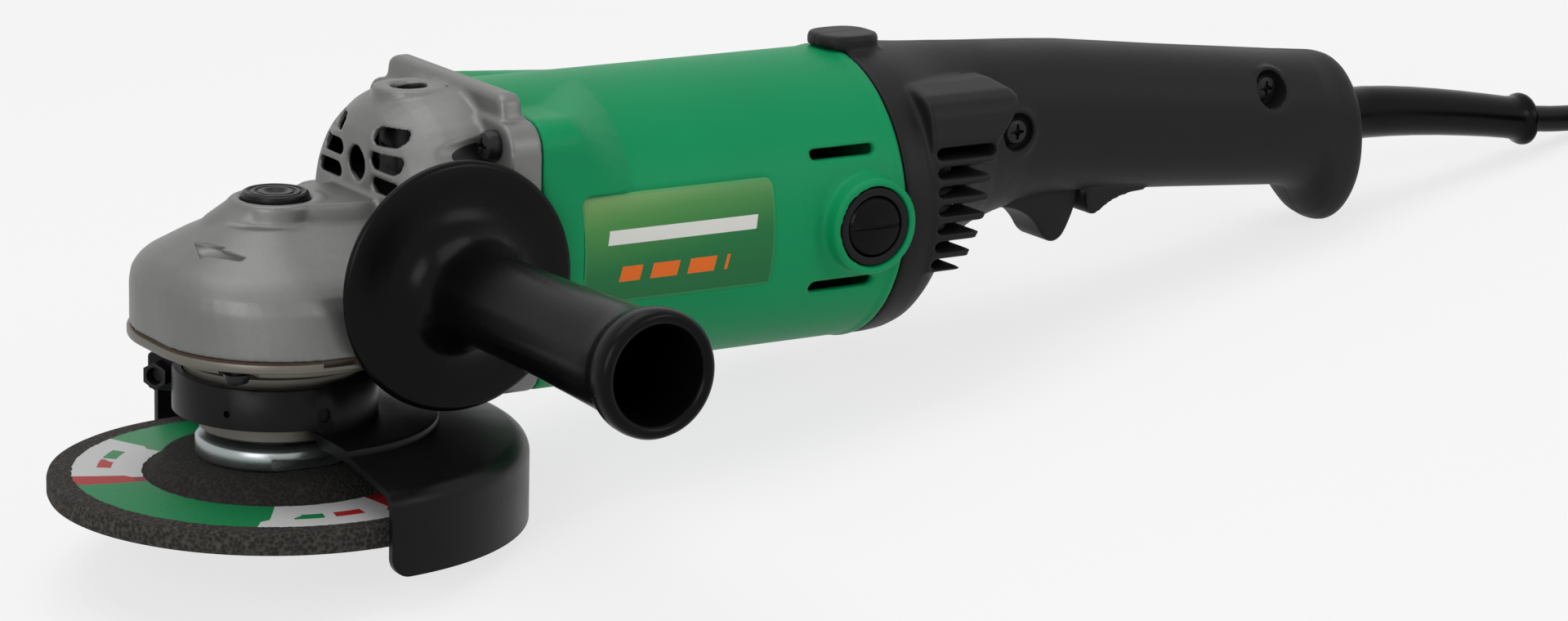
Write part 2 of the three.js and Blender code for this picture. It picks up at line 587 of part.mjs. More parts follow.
function guardClampNut() {
  const nut = solid(
    new THREE.ExtrudeGeometry(hexagon(4), { depth: 3.4, bevelEnabled: false })
      .applyMatrix4(AIM.y)
      .translate(clampR, clampFace, clampZ),
  );
  return atEar(cut(nut, rod(2.5, 0, 20, "y", [clampR, 0, clampZ], 10)));
}

// ---- Spindle lock ----
function lockButton() {
  const skirt = LOCK.floor + LOCK.travel + GAP;
  const ceiling = LOCK.top - 2.6;
  const body = turned([
    [0, skirt - 4], [LOCK.stem, skirt - 4], [LOCK.stem, ceiling], [LOCK.radius - 1.3, ceiling],
    [LOCK.radius - 1.3, skirt], [LOCK.radius, skirt], [LOCK.radius, LOCK.top - 0.8],
    [LOCK.radius - 0.8, LOCK.top], [0, LOCK.top],
  ], "z");
  const ridge = ring(5.6, 4.4, LOCK.top - 0.6, LOCK.top + 1, "z", [0, 0, 0], 16);
  const half = LOCK.tongue / 2;
  const tongue = box(-3.9, 3.9, -half, half, spindleTop + LOCK.free + 0.2, skirt - 3.5);
  return join(cut(body, ridge), tongue);
}

function lockSpring() {
  const middle = (LOCK.stem + LOCK.radius - 1.3) / 2;
  const helix = new Helix(middle, 2 * LOCK.wire, 1.25);
  return bar(helix, LOCK.wire, 16, 5).translate(0, 0, LOCK.floor + LOCK.wire + GAP);
}

// ---- Motor ----
function armatureShaft() {
  return turned([
    [0, 12.6], [3.4, 12.6], [3.4, pinionFront - 0.4], [3.9, pinionFront - 0.4], [3.9, pinionBack + 2.3],
    [6.4, pinionBack + 2.3], [6.4, FRONT_BEARING.from - GAP], [5.7, FRONT_BEARING.from - GAP], [5.7, FAN.to],
    [7, FAN.to + GAP], [7, COMMUTATOR.from - GAP], [6, COMMUTATOR.from - GAP],
    [6, COMMUTATOR.to], [3.7, REAR_BEARING.from - GAP], [3.7, 190], [0, 190],
  ], "x", [0, 0, 0], 16);
}

const pinionNut = () =>
  cut(prism(hexagon(5.8), 12.9, pinionFront - 0.4, "x"), rod(3.7, 10, 25, "x", [0, 0, 0], 16));

function armatureCore() {
  const { radius, from, to, slots } = CORE;
  const body = turned([
    [7.3, from - 9], [18, from - 9], [21, from], [radius, from],
    [radius, to], [21, to], [18, to + 9], [7.3, to + 9], [7.3, from - 9],
  ], "x", [0, 0, 0], 2 * slots);
  const grooves = Array.from({ length: slots }, (_, k) => {
    const groove = new THREE.BoxGeometry(to - from - 1, 2.2, 6);
    groove.translate((from + to) / 2, 0, radius).rotateX((2 * Math.PI * (k + 0.5)) / slots);
    return solid(groove);
  });
  return cut(body, ...grooves);
}

function commutator() {
  const { radius, from, to, bars } = COMMUTATOR;
  const grooves = Array.from({ length: bars }, (_, k) => {
    const groove = new THREE.BoxGeometry(to - from + 2, 0.6, 2);
    groove.translate((from + to) / 2, 0, radius).rotateX((2 * Math.PI * (k + 0.5)) / bars);
    return solid(groove);
  });
  return cut(ring(radius, 6.3, from, to, "x", [0, 0, 0], bars), ...grooves);
}

function coolingFan() {
  const { radius, from, to, blades } = FAN;
  const hub = ring(13, 6, from + 1, to, "x", [0, 0, 0], 22);
  const disc = ring(radius, 6, to - 1.6, to, "x", [0, 0, 0], 22);
  const vanes = Array.from({ length: blades }, (_, k) => {
    const vane = new THREE.BoxGeometry(to - from - 1, 1.6, radius - 12);
    vane.rotateX(0.35).translate((from + to - 1) / 2, 0, (radius + 11) / 2);
    return solid(vane.rotateX((2 * Math.PI * k) / blades));
  });
  return join(hub, disc, ...vanes).intersect(rod(radius, 0, 100, "x", [0, 0, 0], 22));
}

function fieldStator() {
  const { radius, bore, from, to } = STATOR;
  const body = ring(radius, bore, from, to, "x", [0, 0, 0], MOTOR.sides);
  const windows = [1, -1].map((side) => {
    const [low, high] = side > 0 ? [20, 34] : [-34, -20];
    return box(from - 1, to + 1, -9, 9, low, high);
  });
  return cut(body, ...windows);
}

function motorHousing() {
  const { halfWidth, halfHeight, corner } = FLANGE;
  const square = roundedRectangle(-halfWidth, halfWidth, -halfHeight, halfHeight, corner);
  const circle = new THREE.Shape().absarc(0, 0, MOTOR.radius, 0, 2 * Math.PI);
  const front = hull([...lifted(square, FLANGE.back, "x"), ...lifted(square, MOTOR.cornerEnd, "x")]);
  const blend = hull([
    ...lifted(square, MOTOR.cornerEnd, "x"),
    ...lifted(circle, MOTOR.blendEnd, "x", MOTOR.sides),
  ]);
  const barrel = rod(MOTOR.radius, FLANGE.back, MOTOR.end, "x", [0, 0, 0], MOTOR.sides);
  const collars = rod(COLLAR.radius, -COLLAR.face, COLLAR.face, "y", [BRUSH.x, 0, 0], 24);
  const outside = join(front, blend, barrel, collars);

  const bore = rod(motorBore, FLANGE.back - 1, MOTOR.end + 1, "x", [0, 0, 0], MOTOR.sides);
  const cup = rod(REAR_BEARING.outer + 3, MOTOR.end - 3, REAR_BEARING.from + REAR_BEARING.width, "x");
  const seat = rod(REAR_BEARING.outer + GAP, REAR_BEARING.from - GAP, 200, "x");
  const shaftHole = rod(7, MOTOR.end - 10, 200, "x", [0, 0, 0], 16);
  const spokes = [0, 1, 2, 3].map((k) => {
    const spoke = new THREE.BoxGeometry(3, 6, motorBore + 1);
    spoke.translate(MOTOR.end - 1.5, 0, (motorBore + 1) / 2).rotateX((Math.PI / 2) * (k + 0.5));
    return solid(spoke);
  });
  const spider = cut(join(cup, ...spokes), seat, shaftHole);

  const ringHole = rod(COLLAR.ring + GAP, -60, 60, "y", [BRUSH.x, 0, 0], 24);
  const recess = labelSkin(MOTOR.radius + 5, MOTOR.radius - LABEL.depth, 0);
  const slots = [20, -18].map((z) =>
    box(149, 171, -60, 60, z - 1.5, z + 1.5));
  const screwHoles = flangeScrewPlaces.map(([y, z]) =>
    rod(FLANGE_SCREW.shank + GAP, FLANGE.back - 1, MOTOR.cornerEnd, "x", [0, y, z], 10));
  return join(cut(outside, bore, ringHole, recess, ...slots, ...screwHoles), spider);
}

// The curved patch of the label, between two radii and shrunk by a margin all round.
function labelSkin(outer, inner, margin) {
  const { from, to, low, high } = LABEL;
  return ring(outer, inner, from + margin, to - margin, "x", [0, 0, 0], MOTOR.sides)
    .intersect(box(0, to + 1, -MOTOR.radius - 10, 0, low + margin, high - margin));
}

const sideLabel = () => labelSkin(MOTOR.radius, MOTOR.radius - LABEL.depth + GAP / 2, GAP);

// Pieces of one brush, on the +Y side or mirrored to the -Y side.
const onSide = (body, side) => (side > 0 ? body : body.mirror([0, 1, 0]));
const brushAt = [BRUSH.x, 0, 0];

function brushHolder(side) {
  const start = COMMUTATOR.radius + 2.5;
  const rim = rod(COLLAR.ring, motorBore - 3, COLLAR.face - 1, "y", brushAt, 24);
  const tube = rod(8.6, start, motorBore - 2, "y", brushAt, 16);
  const channel = box(BRUSH.x - BRUSH.width / 2 - GAP, BRUSH.x + BRUSH.width / 2 + GAP, 0, 60,
    -BRUSH.height / 2 - GAP, BRUSH.height / 2 + GAP);
  const capRoom = rod(BRUSH.cap + GAP, COLLAR.face - 6.4, 60, "y", brushAt, 24);
  return onSide(cut(join(rim, tube), channel, capRoom), side);
}

function carbonBrush(side) {
  const start = COMMUTATOR.radius + GAP + 0.1;
  return onSide(box(BRUSH.x - BRUSH.width / 2, BRUSH.x + BRUSH.width / 2, start, start + BRUSH.length,
    -BRUSH.height / 2, BRUSH.height / 2), side);
}

function brushCap(side) {
  const { cap } = BRUSH;
  const { face } = COLLAR;
  const body = turned([[0, face - 6], [cap, face - 6], [cap, face - 0.6], [cap - 2, face], [0, face + 0.4]],
    "y", brushAt, 24);
  const slot = box(BRUSH.x - cap + 1, BRUSH.x + cap - 1, face - 1.2, 60, -0.6, 0.6);
  return onSide(cut(body, slot), side);
}

// ---- Side handle ----
const sideAt = [SIDE_SOCKET.x, 0, SIDE_SOCKET.z];

function sideHandle() {
  const { discRadius, discThickness, length, neck, grip, bead } = SIDE_HANDLE;
  const studRoom = SIDE_SOCKET.radius + 0.1;
  const out = (radius, distance) => [radius, sideSeat - distance];
  return turned([
    out(studRoom, 0), out(discRadius, 0), out(discRadius, discThickness - 0.8),
    out(discRadius - 0.8, discThickness), out(neck + 8, discThickness + 1.5), out(neck + 1.5, 9),
    out(neck, 16), out(neck, 40), out(grip - 0.6, 75), out(grip, 94), out(bead - 0.6, 99), out(bead, 101),
    out(bead, length - 1.5), out(bead - 1.5, length), out(grip - 1.8, length), out(grip - 3.2, length - 4),
    out(neck - 2.4, 44), out(studRoom, 38), out(studRoom, 0),
  ], "y", sideAt, 20);
}

function sideHandleStud() {
  const stud = SIDE_SOCKET.radius - GAP;
  const tip = -(SIDE_SOCKET.face - SIDE_SOCKET.depth + 2);
  const headAt = sideSeat - 38 - 5;
  const shank = rod(stud, headAt - 1, tip, "y", sideAt, 16);
  const head = rod(8, headAt - 6, headAt, "y", sideAt, 6);
  return join(shank, head);
}

// ---- Rear handle ----
function handleRings(inset) {
  const sides = 16;
  const power = 2 / 2.3;
  const bulge = (value) => Math.sign(value) * Math.abs(value) ** power;
  const rows = STATIONS.map(({ x, w, top, bottom }, k) => {
    const squareness = x < 215 ? (value) => value : bulge;
    const last = k === STATIONS.length - 1;
    const first = k === 0;
    const at = inset && last ? x - inset : inset && first ? x - 1 : x;
    const trim = inset && last ? inset + 3 : inset;
    const middle = (top + bottom) / 2;
    const half = (top - bottom) / 2 - trim;
    return Array.from({ length: sides }, (_, j) => {
      const angle = (2 * Math.PI * j) / sides;
      const y = (w - trim) * squareness(Math.cos(angle));
      return new THREE.Vector3(at, y, middle + half * squareness(Math.sin(angle)));
    });
  });
  return rows;
}

const triggerSlot = { from: 226.5, to: 272.6 };

function handleWhole() {
  const pad = box(SHELL.start, PAD.to, -PAD.halfWidth, PAD.halfWidth, MOTOR.radius - 2, PAD.top);
  const bump = hull([
    ...lifted(roundedRectangle(-11, 11, -9, -5, 1.5), triggerSlot.to + GAP, "x", 2),
    ...lifted(roundedRectangle(-9, 9, -16.6, -6, 1.5), triggerSlot.to + 1.6, "x", 2),
    ...lifted(roundedRectangle(-9, 9, -15.5, -6, 1.5), triggerSlot.to + 4, "x", 2),
    ...lifted(roundedRectangle(-11, 11, -9.5, -5, 1.5), triggerSlot.to + 11, "x", 2),
  ]);
  const outer = join(loft(handleRings(0)), pad, bump);
  const half = TRIGGER.halfWidth + TRIGGER.side;
  const slot = box(triggerSlot.from, triggerSlot.to, -half, half, -13, 0);
  const exit = rod(CORD_GUARD.root + GAP, 360, 390, "x", [0, 0, CORD_GUARD.exitZ], 16);
  const vents = Array.from({ length: VENTS.count }, (_, k) => {
    const z = VENTS.top - k * VENTS.pitch;
    return box(VENTS.from, VENTS.to, -60, 60, z - VENTS.height / 2, z + VENTS.height / 2);
  });
  return cut(outer, loft(handleRings(SHELL.wall)), slot, exit, ...vents);
}

function handleHalf(side) {
  const whole = handleWhole();
  const [from, to] = side > 0 ? [GAP / 2, 80] : [-80, -GAP / 2];
  const half = whole.intersect(box(170, 400, from, to, -80, 80));
  const bosses = HANDLE_SCREWS.map(({ x, z, seat }) => {
    const [low, high] = side > 0 ? [GAP / 2, seat] : [-seat, -GAP / 2];
    return rod(5, low, high, "y", [x, 0, z], 16);
  });
  const holes = HANDLE_SCREWS.flatMap(({ x, z, seat }) => [
    rod(HANDLE_SCREW.shank + GAP, -40, seat - 4, "y", [x, 0, z], 10),
    rod(HANDLE_SCREW.head + GAP, -40, -seat + 5, "y", [x, 0, z], 16),
  ]);
  return cut(join(half, ...bosses), ...holes);
}

function handleScrew({ x, z, seat }) {
  const size = { ...HANDLE_SCREW, length: 2 * seat - 13 };
  return screw(size, "y", [x, 0, z], -seat + 5 - HANDLE_SCREW.headHeight - GAP, 1);
}

function trigger() {
  const side = outline([
    [229, -4], [232, -2.6], [266, -4.2], [270, -6.5], [270.4, -11], [266.5, -17], [262, -23.4],
    [260, -23.8], [257.5, -20.5], [252, -15.5], [243, -12.4], [231, -11], [228, -8],
  ].map(([x, z]) => [z, x]));
  const { pivotX, pivotZ, halfWidth } = TRIGGER;
  const pinHole = rod(1.9, -20, 20, "y", [pivotX, 0, pivotZ], 12);
  const springRoom = box(pivotX - 3.6, pivotX + 4.4, -3.4, 3.4, -12, 2);
  return cut(prism(side, -halfWidth, halfWidth, "y"), pinHole, springRoom);
}

const triggerPin = () => rod(1.6, -9.6, 9.6, "y", [TRIGGER.pivotX, 0, TRIGGER.pivotZ], 12);

function triggerSpring() {
  const coil = bar(new Helix(2.6, 4.4, 2.6), 0.45, 24, 4);
  return coil.rotate([-90, 0, 0]).translate(TRIGGER.pivotX, -2.2, TRIGGER.pivotZ);
}

function switchBody() {
  const shape = roundedRectangle(252, 294, 3, 23, 1.5);
  const body = prism(outline(shape.extractPoints(3).shape.map((p) => [p.y, p.x])), -10.5, 10.5, "y");
  const terminals = [-6, 6].map((y) => box(293, 299, y - 1.5, y + 1.5, 8, 16));
  return join(body, ...terminals);
}

function cordClamp() {
  const body = box(344, 352, -11, 11, 10.5, 13.5);
  return cut(body, ...[-7.5, 7.5].map((y) => rod(1.9, 0, 20, "z", [348, y, 0], 10)));
}

function cordClampScrew(y) {
  return screw({ shank: 1.6, head: 3, headHeight: 2, length: 9 }, "z", [348, y, 0], 15.8, -1);
}

// ---- Cord ----
function cordGuard() {
  const { start, end, root, tip, bead, exitZ, endZ } = CORD_GUARD;
  const wall = STATIONS.at(-1).x;
  const stations = [
    [start, root + 2], [start + 4, root + 2], [start + 4.3, root], [wall + 2, root],
    [wall + 34, (root + tip) / 2], [end - 7, tip], [end - 4, tip + 0.6], [end - 2.5, bead],
    [end - 0.8, bead], [end, bead - 1.2],
  ];
  const sides = 14;
  const rings = stations.map(([x, radius]) => {
    const share = Math.max(0, (x - wall) / (end - wall));
    const z = exitZ + (endZ - exitZ) * share ** 1.5;
    return Array.from({ length: sides }, (_, k) => {
      const angle = (2 * Math.PI * k) / sides;
      return new THREE.Vector3(x, radius * Math.cos(angle), z + radius * Math.sin(angle));
    });
  });
  return loft(rings);
}

const route = (points) => new THREE.CatmullRomCurve3(points.map((p) => new THREE.Vector3(...p)));
const cordTube = (points, steps) => bar(route(points), CORD.radius, steps, CORD.sides);
const cordCoil = () => ring(COIL.outer, COIL.inner, 0, COIL.height, "z", [COIL.x, COIL.y, 0], 32);

function plugBody() {
  const { x, y, z, neck, length, halfWidth, halfHeight } = PLUG;
  const sections = [
    [0, 5.2, 5.2], [neck, 7.4, 6.6], [neck + 3, halfWidth - 2, halfHeight - 0.8],
    [neck + 8, halfWidth, halfHeight], [neck + length - 2, halfWidth, halfHeight],
    [neck + length, halfWidth - 1.5, halfHeight - 1.2],
  ];
  return loft(sections.map(([along, w, h]) =>
    Array.from({ length: 16 }, (_, k) => {
      const angle = (2 * Math.PI * k) / 16;
      const bulge = (value) => Math.sign(value) * Math.abs(value) ** 0.7;
      return new THREE.Vector3(x + w * bulge(Math.cos(angle)), y - along, z + h * bulge(Math.sin(angle)));
    })));
}

function plugBlade(side) {
  const face = PLUG.y - PLUG.neck - PLUG.length - GAP;
  const middle = PLUG.x + (side * BLADE.spacing) / 2;
  return box(middle - BLADE.thickness / 2, middle + BLADE.thickness / 2, face - BLADE.length, face,
    PLUG.z - BLADE.width / 2, PLUG.z + BLADE.width / 2);
}

const bearing = ({ outer, bore, width }, from, axis) =>
  ring(outer, bore, from, from + width, axis, [0, 0, 0], 16);

// ---- Assembly ----
add("gear_housing", gearHousing(), "casting");
add("bearing_retainer", bearingRetainer(), "machined");
retainerScrewPlaces.forEach(([x, y], k) => {
  const face = plateBottom - GAP - RETAINER_SCREW.headHeight;
  add(`retainer_screw_${k + 1}`, screw(RETAINER_SCREW, "z", [x, y, 0], face, 1), "blackSteel");
});
add("spindle", spindle(), "steel");
add("spindle_lower_bearing", bearing(LOWER_BEARING, bearingBottom, "z"), "steel");
add("spindle_upper_bearing", bearing(UPPER_BEARING, UPPER_BEARING.bottom, "z"), "steel");
add("ring_gear", ringGear(), "steel");
add("pinion", pinion(), "steel");
add("pinion_nut", pinionNut(), "steel");
add("armature_shaft", armatureShaft(), "steel");
add("armature_core", armatureCore(), "copper");
add("commutator", commutator(), "copper");
add("cooling_fan", coolingFan(), "blackPlastic");
add("armature_front_bearing", bearing(FRONT_BEARING, FRONT_BEARING.from, "x"), "steel");
add("armature_rear_bearing", bearing(REAR_BEARING, REAR_BEARING.from, "x"), "steel");
add("fan_baffle", ring(motorBore - GAP, 27, 64, 67, "x", [0, 0, 0], MOTOR.sides), "blackPlastic");
add("field_stator", fieldStator(), "steel");
add("motor_housing", motorHousing(), "greenPlastic");
add("side_label", sideLabel(), "label");
for (const [name, side] of [["left", 1], ["right", -1]]) {
  add(`brush_holder_${name}`, brushHolder(side), "blackPlastic");
  add(`carbon_brush_${name}`, carbonBrush(side), "carbon");
  add(`brush_cap_${name}`, brushCap(side), "blackPlastic");
}
flangeScrewPlaces.forEach(([y, z], k) => {
  const face = FLANGE.front - GAP - FLANGE_SCREW.headHeight;
  add(`flange_screw_${k + 1}`, screw(FLANGE_SCREW, "x", [0, y, z], face, 1), "blackSteel");
});
add("lock_button", lockButton(), "blackPlastic");
add("lock_spring", lockSpring(), "steel");
add("wheel_guard", wheelGuard(), "blackSteel");
add("guard_clamp_screw", guardClampScrew(), "blackSteel");
add("guard_clamp_nut", guardClampNut(), "blackSteel");
add("wheel_washer", wheelWasher(), "steel");
add("grinding_wheel", grindingWheel(), "abrasive");
add("wheel_nut", wheelNut(), "steel");
add("side_handle", sideHandle(), "blackPlastic");
add("side_handle_stud", sideHandleStud(), "steel");
add("rear_handle_left", handleHalf(1), "blackPlastic");
add("rear_handle_right", handleHalf(-1), "blackPlastic");
HANDLE_SCREWS.forEach((place, k) => add(`handle_screw_${k + 1}`, handleScrew(place), "blackSteel"));
add("trigger", trigger(), "blackPlastic");
add("trigger_pin", triggerPin(), "steel");
add("trigger_spring", triggerSpring(), "steel");
add("switch_body", switchBody(), "blackPlastic");
add("cord_clamp", cordClamp(), "blackPlastic");
[-7.5, 7.5].forEach((y, k) => add(`cord_clamp_screw_${k + 1}`, cordClampScrew(y), "steel"));
add("cord_guard", cordGuard(), "glossyRubber");

// The tool is tilted until the guard's rear rim and the hook of the handle stand on one level,
// and moved so that the origin is at the middle of its box, on that level.
const rimReach = GUARD.radius * Math.cos(Math.PI / GUARD.sides);
tool.rotation.y = Math.atan2(HOOK.bottom - GUARD.rim, HOOK.x - rimReach);
const bounds = new THREE.Box3().setFromObject(tool, true);
const middle = bounds.getCenter(new THREE.Vector3());
tool.position.set(-middle.x, -middle.y, -bounds.min.z);

add("power_cord", cordTube(CORD_LEAD, 6), "glossyRubber", group);
add("cord_coil", cordCoil(), "glossyRubber", group);
add("cord_plug_end", cordTube(CORD_TAIL, 5), "glossyRubber", group);
add("plug_body", plugBody(), "glossyRubber", group);
[1, -1].forEach((side, k) => add(`plug_blade_${k + 1}`, plugBlade(side), "brass", group));

export default group;
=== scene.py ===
"""Looks of an angle grinder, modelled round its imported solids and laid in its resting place."""
import math

import bmesh
import bpy
from mathutils import Matrix, Vector


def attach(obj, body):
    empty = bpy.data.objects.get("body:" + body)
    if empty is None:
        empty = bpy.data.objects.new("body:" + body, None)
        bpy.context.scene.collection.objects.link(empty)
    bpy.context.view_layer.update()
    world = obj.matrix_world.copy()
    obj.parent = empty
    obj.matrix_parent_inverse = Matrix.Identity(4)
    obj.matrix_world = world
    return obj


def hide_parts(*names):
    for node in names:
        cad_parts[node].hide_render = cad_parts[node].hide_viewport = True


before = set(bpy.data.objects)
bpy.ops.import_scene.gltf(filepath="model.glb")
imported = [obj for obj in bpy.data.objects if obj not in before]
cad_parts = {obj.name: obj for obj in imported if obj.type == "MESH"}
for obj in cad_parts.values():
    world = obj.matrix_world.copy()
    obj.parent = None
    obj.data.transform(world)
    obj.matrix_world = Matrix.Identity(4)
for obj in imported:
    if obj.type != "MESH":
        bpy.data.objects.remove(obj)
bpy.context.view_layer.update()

# The tool is modelled level, in millimetres, and then laid down tail low as it rests.
MM = 0.001
TILT = math.radians(9.03222)
REST_AT = Vector((-0.18482, 0.040233, 0.08403))
REST = Matrix.Translation(REST_AT) @ Matrix.Rotation(TILT, 4, "Y")
AXES = {"x": Vector((1, 0, 0)), "y": Vector((0, 1, 0)), "z": Vector((0, 0, 1))}


# ---- Camera ----
def aim_camera():
    azimuth, elevation, roll = (math.radians(a) for a in (-32.83, 14.1, 1.53))
    back = Vector((math.sin(azimuth) * math.cos(elevation),
                   -math.cos(azimuth) * math.cos(elevation), math.sin(elevation)))
    across = AXES["z"].cross(back).normalized()
    upward = back.cross(across)
    right = math.cos(roll) * across + math.sin(roll) * upward
    top = math.cos(roll) * upward - math.sin(roll) * across
    stand = Vector((89.62, -117.69, 0)) + 1254.69 * back
    bpy.ops.object.camera_add()
    camera = bpy.context.object
    camera.data.lens = 109.73
    camera.data.sensor_width = 36
    turn = Matrix((right, top, back)).transposed().to_4x4()
    camera.matrix_world = REST @ Matrix.Translation(stand * MM) @ turn
    bpy.context.scene.camera = camera


aim_camera()


# ---- Workshop: drawing, turning, cutting ----
def clear():
    bpy.ops.object.select_all(action="DESELECT")


def hold(piece):
    clear()
    piece.select_set(True)
    bpy.context.view_layer.objects.active = piece
    return piece


def settle():
    """Applies where the new piece stands, and hands it over."""
    piece = bpy.context.object
    bpy.ops.object.transform_apply(location=True, rotation=True, scale=True)
    return piece


def tidy_up():
    """Merges doubles and turns faces outwards in edit mode, then leaves it."""
    bpy.ops.mesh.select_all(action="SELECT")
    bpy.ops.mesh.remove_doubles(threshold=0.002)
    bpy.ops.mesh.normals_make_consistent(inside=False)
    bpy.ops.object.mode_set(mode="OBJECT")
    return bpy.context.object


def trace(points):
    """Draws edges through the points, one vertex after another, and stays in edit mode."""
    points = [Vector(p) for p in points]
    clear()
    bpy.ops.mesh.primitive_plane_add(size=1)
    bpy.ops.object.mode_set(mode="EDIT")
    bpy.ops.mesh.select_mode(type="VERT")
    bpy.ops.mesh.merge(type="CENTER")
    bpy.ops.transform.translate(value=points[0])
    for before, after in zip(points, points[1:]):
        bpy.ops.mesh.extrude_vertices_move(TRANSFORM_OT_translate={"value": after - before})


def fill(points):
    """Draws a closed outline and fills it with one face."""
    trace(points)
    bpy.ops.mesh.select_all(action="SELECT")
    bpy.ops.mesh.edge_face_add()
    bpy.ops.mesh.select_mode(type="FACE")
    bpy.ops.mesh.select_all(action="SELECT")


def on_plane(axis, a, b, level):
    return {"x": (level, a, b), "y": (a, level, b), "z": (a, b, level)}[axis]


def prism(outline, axis, start, end):
    fill([on_plane(axis, a, b, start) for a, b in outline])
    bpy.ops.mesh.extrude_region_move(TRANSFORM_OT_translate={"value": AXES[axis] * (end - start)})
    return tidy_up()


def turned(profile, axis="z", at=(0, 0, 0), steps=96):
    """Spins a profile of (radius, height) round an axis."""
    at = Vector(at)
    spots = {"x": lambda r, h: (h, 0, r), "y": lambda r, h: (r, h, 0), "z": lambda r, h: (r, 0, h)}
    trace([at + Vector(spots[axis](r, h)) for r, h in profile])
    bpy.ops.mesh.select_all(action="SELECT")
    bpy.ops.mesh.spin(steps=steps, angle=2 * math.pi, center=at, axis=AXES[axis])
    return tidy_up()


def ring(outer, inner, start, end, axis="z", at=(0, 0, 0), steps=96):
    return turned([(outer, start), (outer, end), (inner, end), (inner, start), (outer, start)], axis, at,
                  steps)


def rod(radius, start, end, axis="z", at=(0, 0, 0), sides=64, tip=None):
    turn = {"x": (0, math.pi / 2, 0), "y": (-math.pi / 2, 0, 0), "z": (0, 0, 0)}[axis]
    middle = Vector(at) + AXES[axis] * (start + end) / 2
    clear()
    bpy.ops.mesh.primitive_cone_add(vertices=sides, radius1=radius, radius2=radius if tip is None else tip,
                                    depth=end - start, location=middle, rotation=turn)
    return settle()


def block(x0, x1, y0, y1, z0, z1):
    clear()
    bpy.ops.mesh.primitive_cube_add(size=1, location=((x0 + x1) / 2, (y0 + y1) / 2, (z0 + z1) / 2),
                                    scale=(x1 - x0, y1 - y0, z1 - z0))
    return settle()


def rounded(x0, x1, y0, y1, radius, steps=8):
    """Outline of a rectangle with round corners."""
    corners = ((x1 - radius, y1 - radius, 0), (x0 + radius, y1 - radius, 1),
               (x0 + radius, y0 + radius, 2), (x1 - radius, y0 + radius, 3))
    return [(cx + radius * math.cos(math.pi / 2 * (quarter + k / steps)),
             cy + radius * math.sin(math.pi / 2 * (quarter + k / steps)))
            for cx, cy, quarter in corners for k in range(steps + 1)]


def circle(radius, a=0.0, b=0.0, steps=64, power=1.0, from_=0.0, to=2 * math.pi):
    """Outline of a circle, or of a squarer round where the power is under 1."""
    def swell(v):
        return math.copysign(abs(v) ** power, v)
    span = to - from_
    count = steps if span > 6.28 else steps + 1
    return [(a + radius * swell(math.cos(from_ + span * k / steps)),
             b + radius * swell(math.sin(from_ + span * k / steps))) for k in range(count)]


def softened(outline, rounds=2):
    """The outline with its corners cut off again and again until they read as curves."""
    for _ in range(rounds):
        outline = [tuple(a * (1 - t) + b * t for a, b in zip(outline[k - 1], outline[k]))
                   for k in range(len(outline)) for t in (0.25, 0.75)]
    return outline


def slot_outline(x0, x1, middle, height, steps=6):
    """Outline of a slot with round ends."""
    return rounded(x0, x1, middle - height / 2, middle + height / 2, height / 2 - 0.01, steps)


def loft(outline, stations):
    """Extrudes a unit outline along X, resized at each station (x, half width, top, bottom)."""
    x, w, top, bottom = stations[0]
    half = (top - bottom) / 2
    middle = (top + bottom) / 2
    fill([(x, a * w, middle + b * half) for a, b in outline])
    for (x0, w0, t0, b0), (x1, w1, t1, b1) in zip(stations, stations[1:]):
        move = Vector((x1 - x0, 0, (t1 + b1 - t0 - b0) / 2))
        bpy.ops.mesh.extrude_region_move(TRANSFORM_OT_translate={"value": move})
        bpy.ops.transform.resize(value=(1, w1 / w0, (t1 - b1) / (t0 - b0)),
                                 center_override=(x1, 0, (t1 + b1) / 2))
    return tidy_up()


def together(pieces):
    first = hold(pieces[0])
    for other in pieces[1:]:
        other.select_set(True)
    if len(pieces) > 1:
        bpy.ops.object.join()
    return first


def hull(*outlines):
    """The tight skin over outlines given as lists of points."""
    rings = []
    for points in outlines:
        trace(points)
        bpy.ops.object.mode_set(mode="OBJECT")
        rings.append(bpy.context.object)
    together(rings)
    bpy.ops.object.mode_set(mode="EDIT")
    bpy.ops.mesh.select_all(action="SELECT")
    bpy.ops.mesh.convex_hull()
    return tidy_up()


def level(outline, axis, height):
    return [on_plane(axis, a, b, height) for a, b in outline]


def combine(piece, tools, how):
    for tool in tools:
        change = piece.modifiers.new("shape", "BOOLEAN")
        change.operation = how
        change.solver = "MANIFOLD"
        change.object = tool
        hold(piece)
        bpy.ops.object.modifier_apply(modifier=change.name)
        bpy.data.objects.remove(tool)
    return piece


def weld(piece, *others):
    return combine(piece, others, "UNION")


def cut(piece, *tools):
    return combine(piece, tools, "DIFFERENCE")


def common(piece, tool):
    return combine(piece, [tool], "INTERSECT")


def bevelled(piece, width, segments=3, angle=30):
    change = piece.modifiers.new("edges", "BEVEL")
    change.width = width
    change.segments = segments
    change.limit_method = "ANGLE"
    change.angle_limit = math.radians(angle)
    hold(piece)
    bpy.ops.object.modifier_apply(modifier=change.name)
    return piece


def moulded(piece, voxel=0.8, passes=6, factor=0.5):
    """Gives a piece the soft edges of something cast or moulded."""
    skin = piece.modifiers.new("skin", "REMESH")
    skin.mode = "VOXEL"
    skin.voxel_size = voxel
    soft = piece.modifiers.new("soft", "SMOOTH")
    soft.factor = factor
    soft.iterations = passes
    hold(piece)
    bpy.ops.object.modifier_apply(modifier="skin")
    bpy.ops.object.modifier_apply(modifier="soft")
    return piece


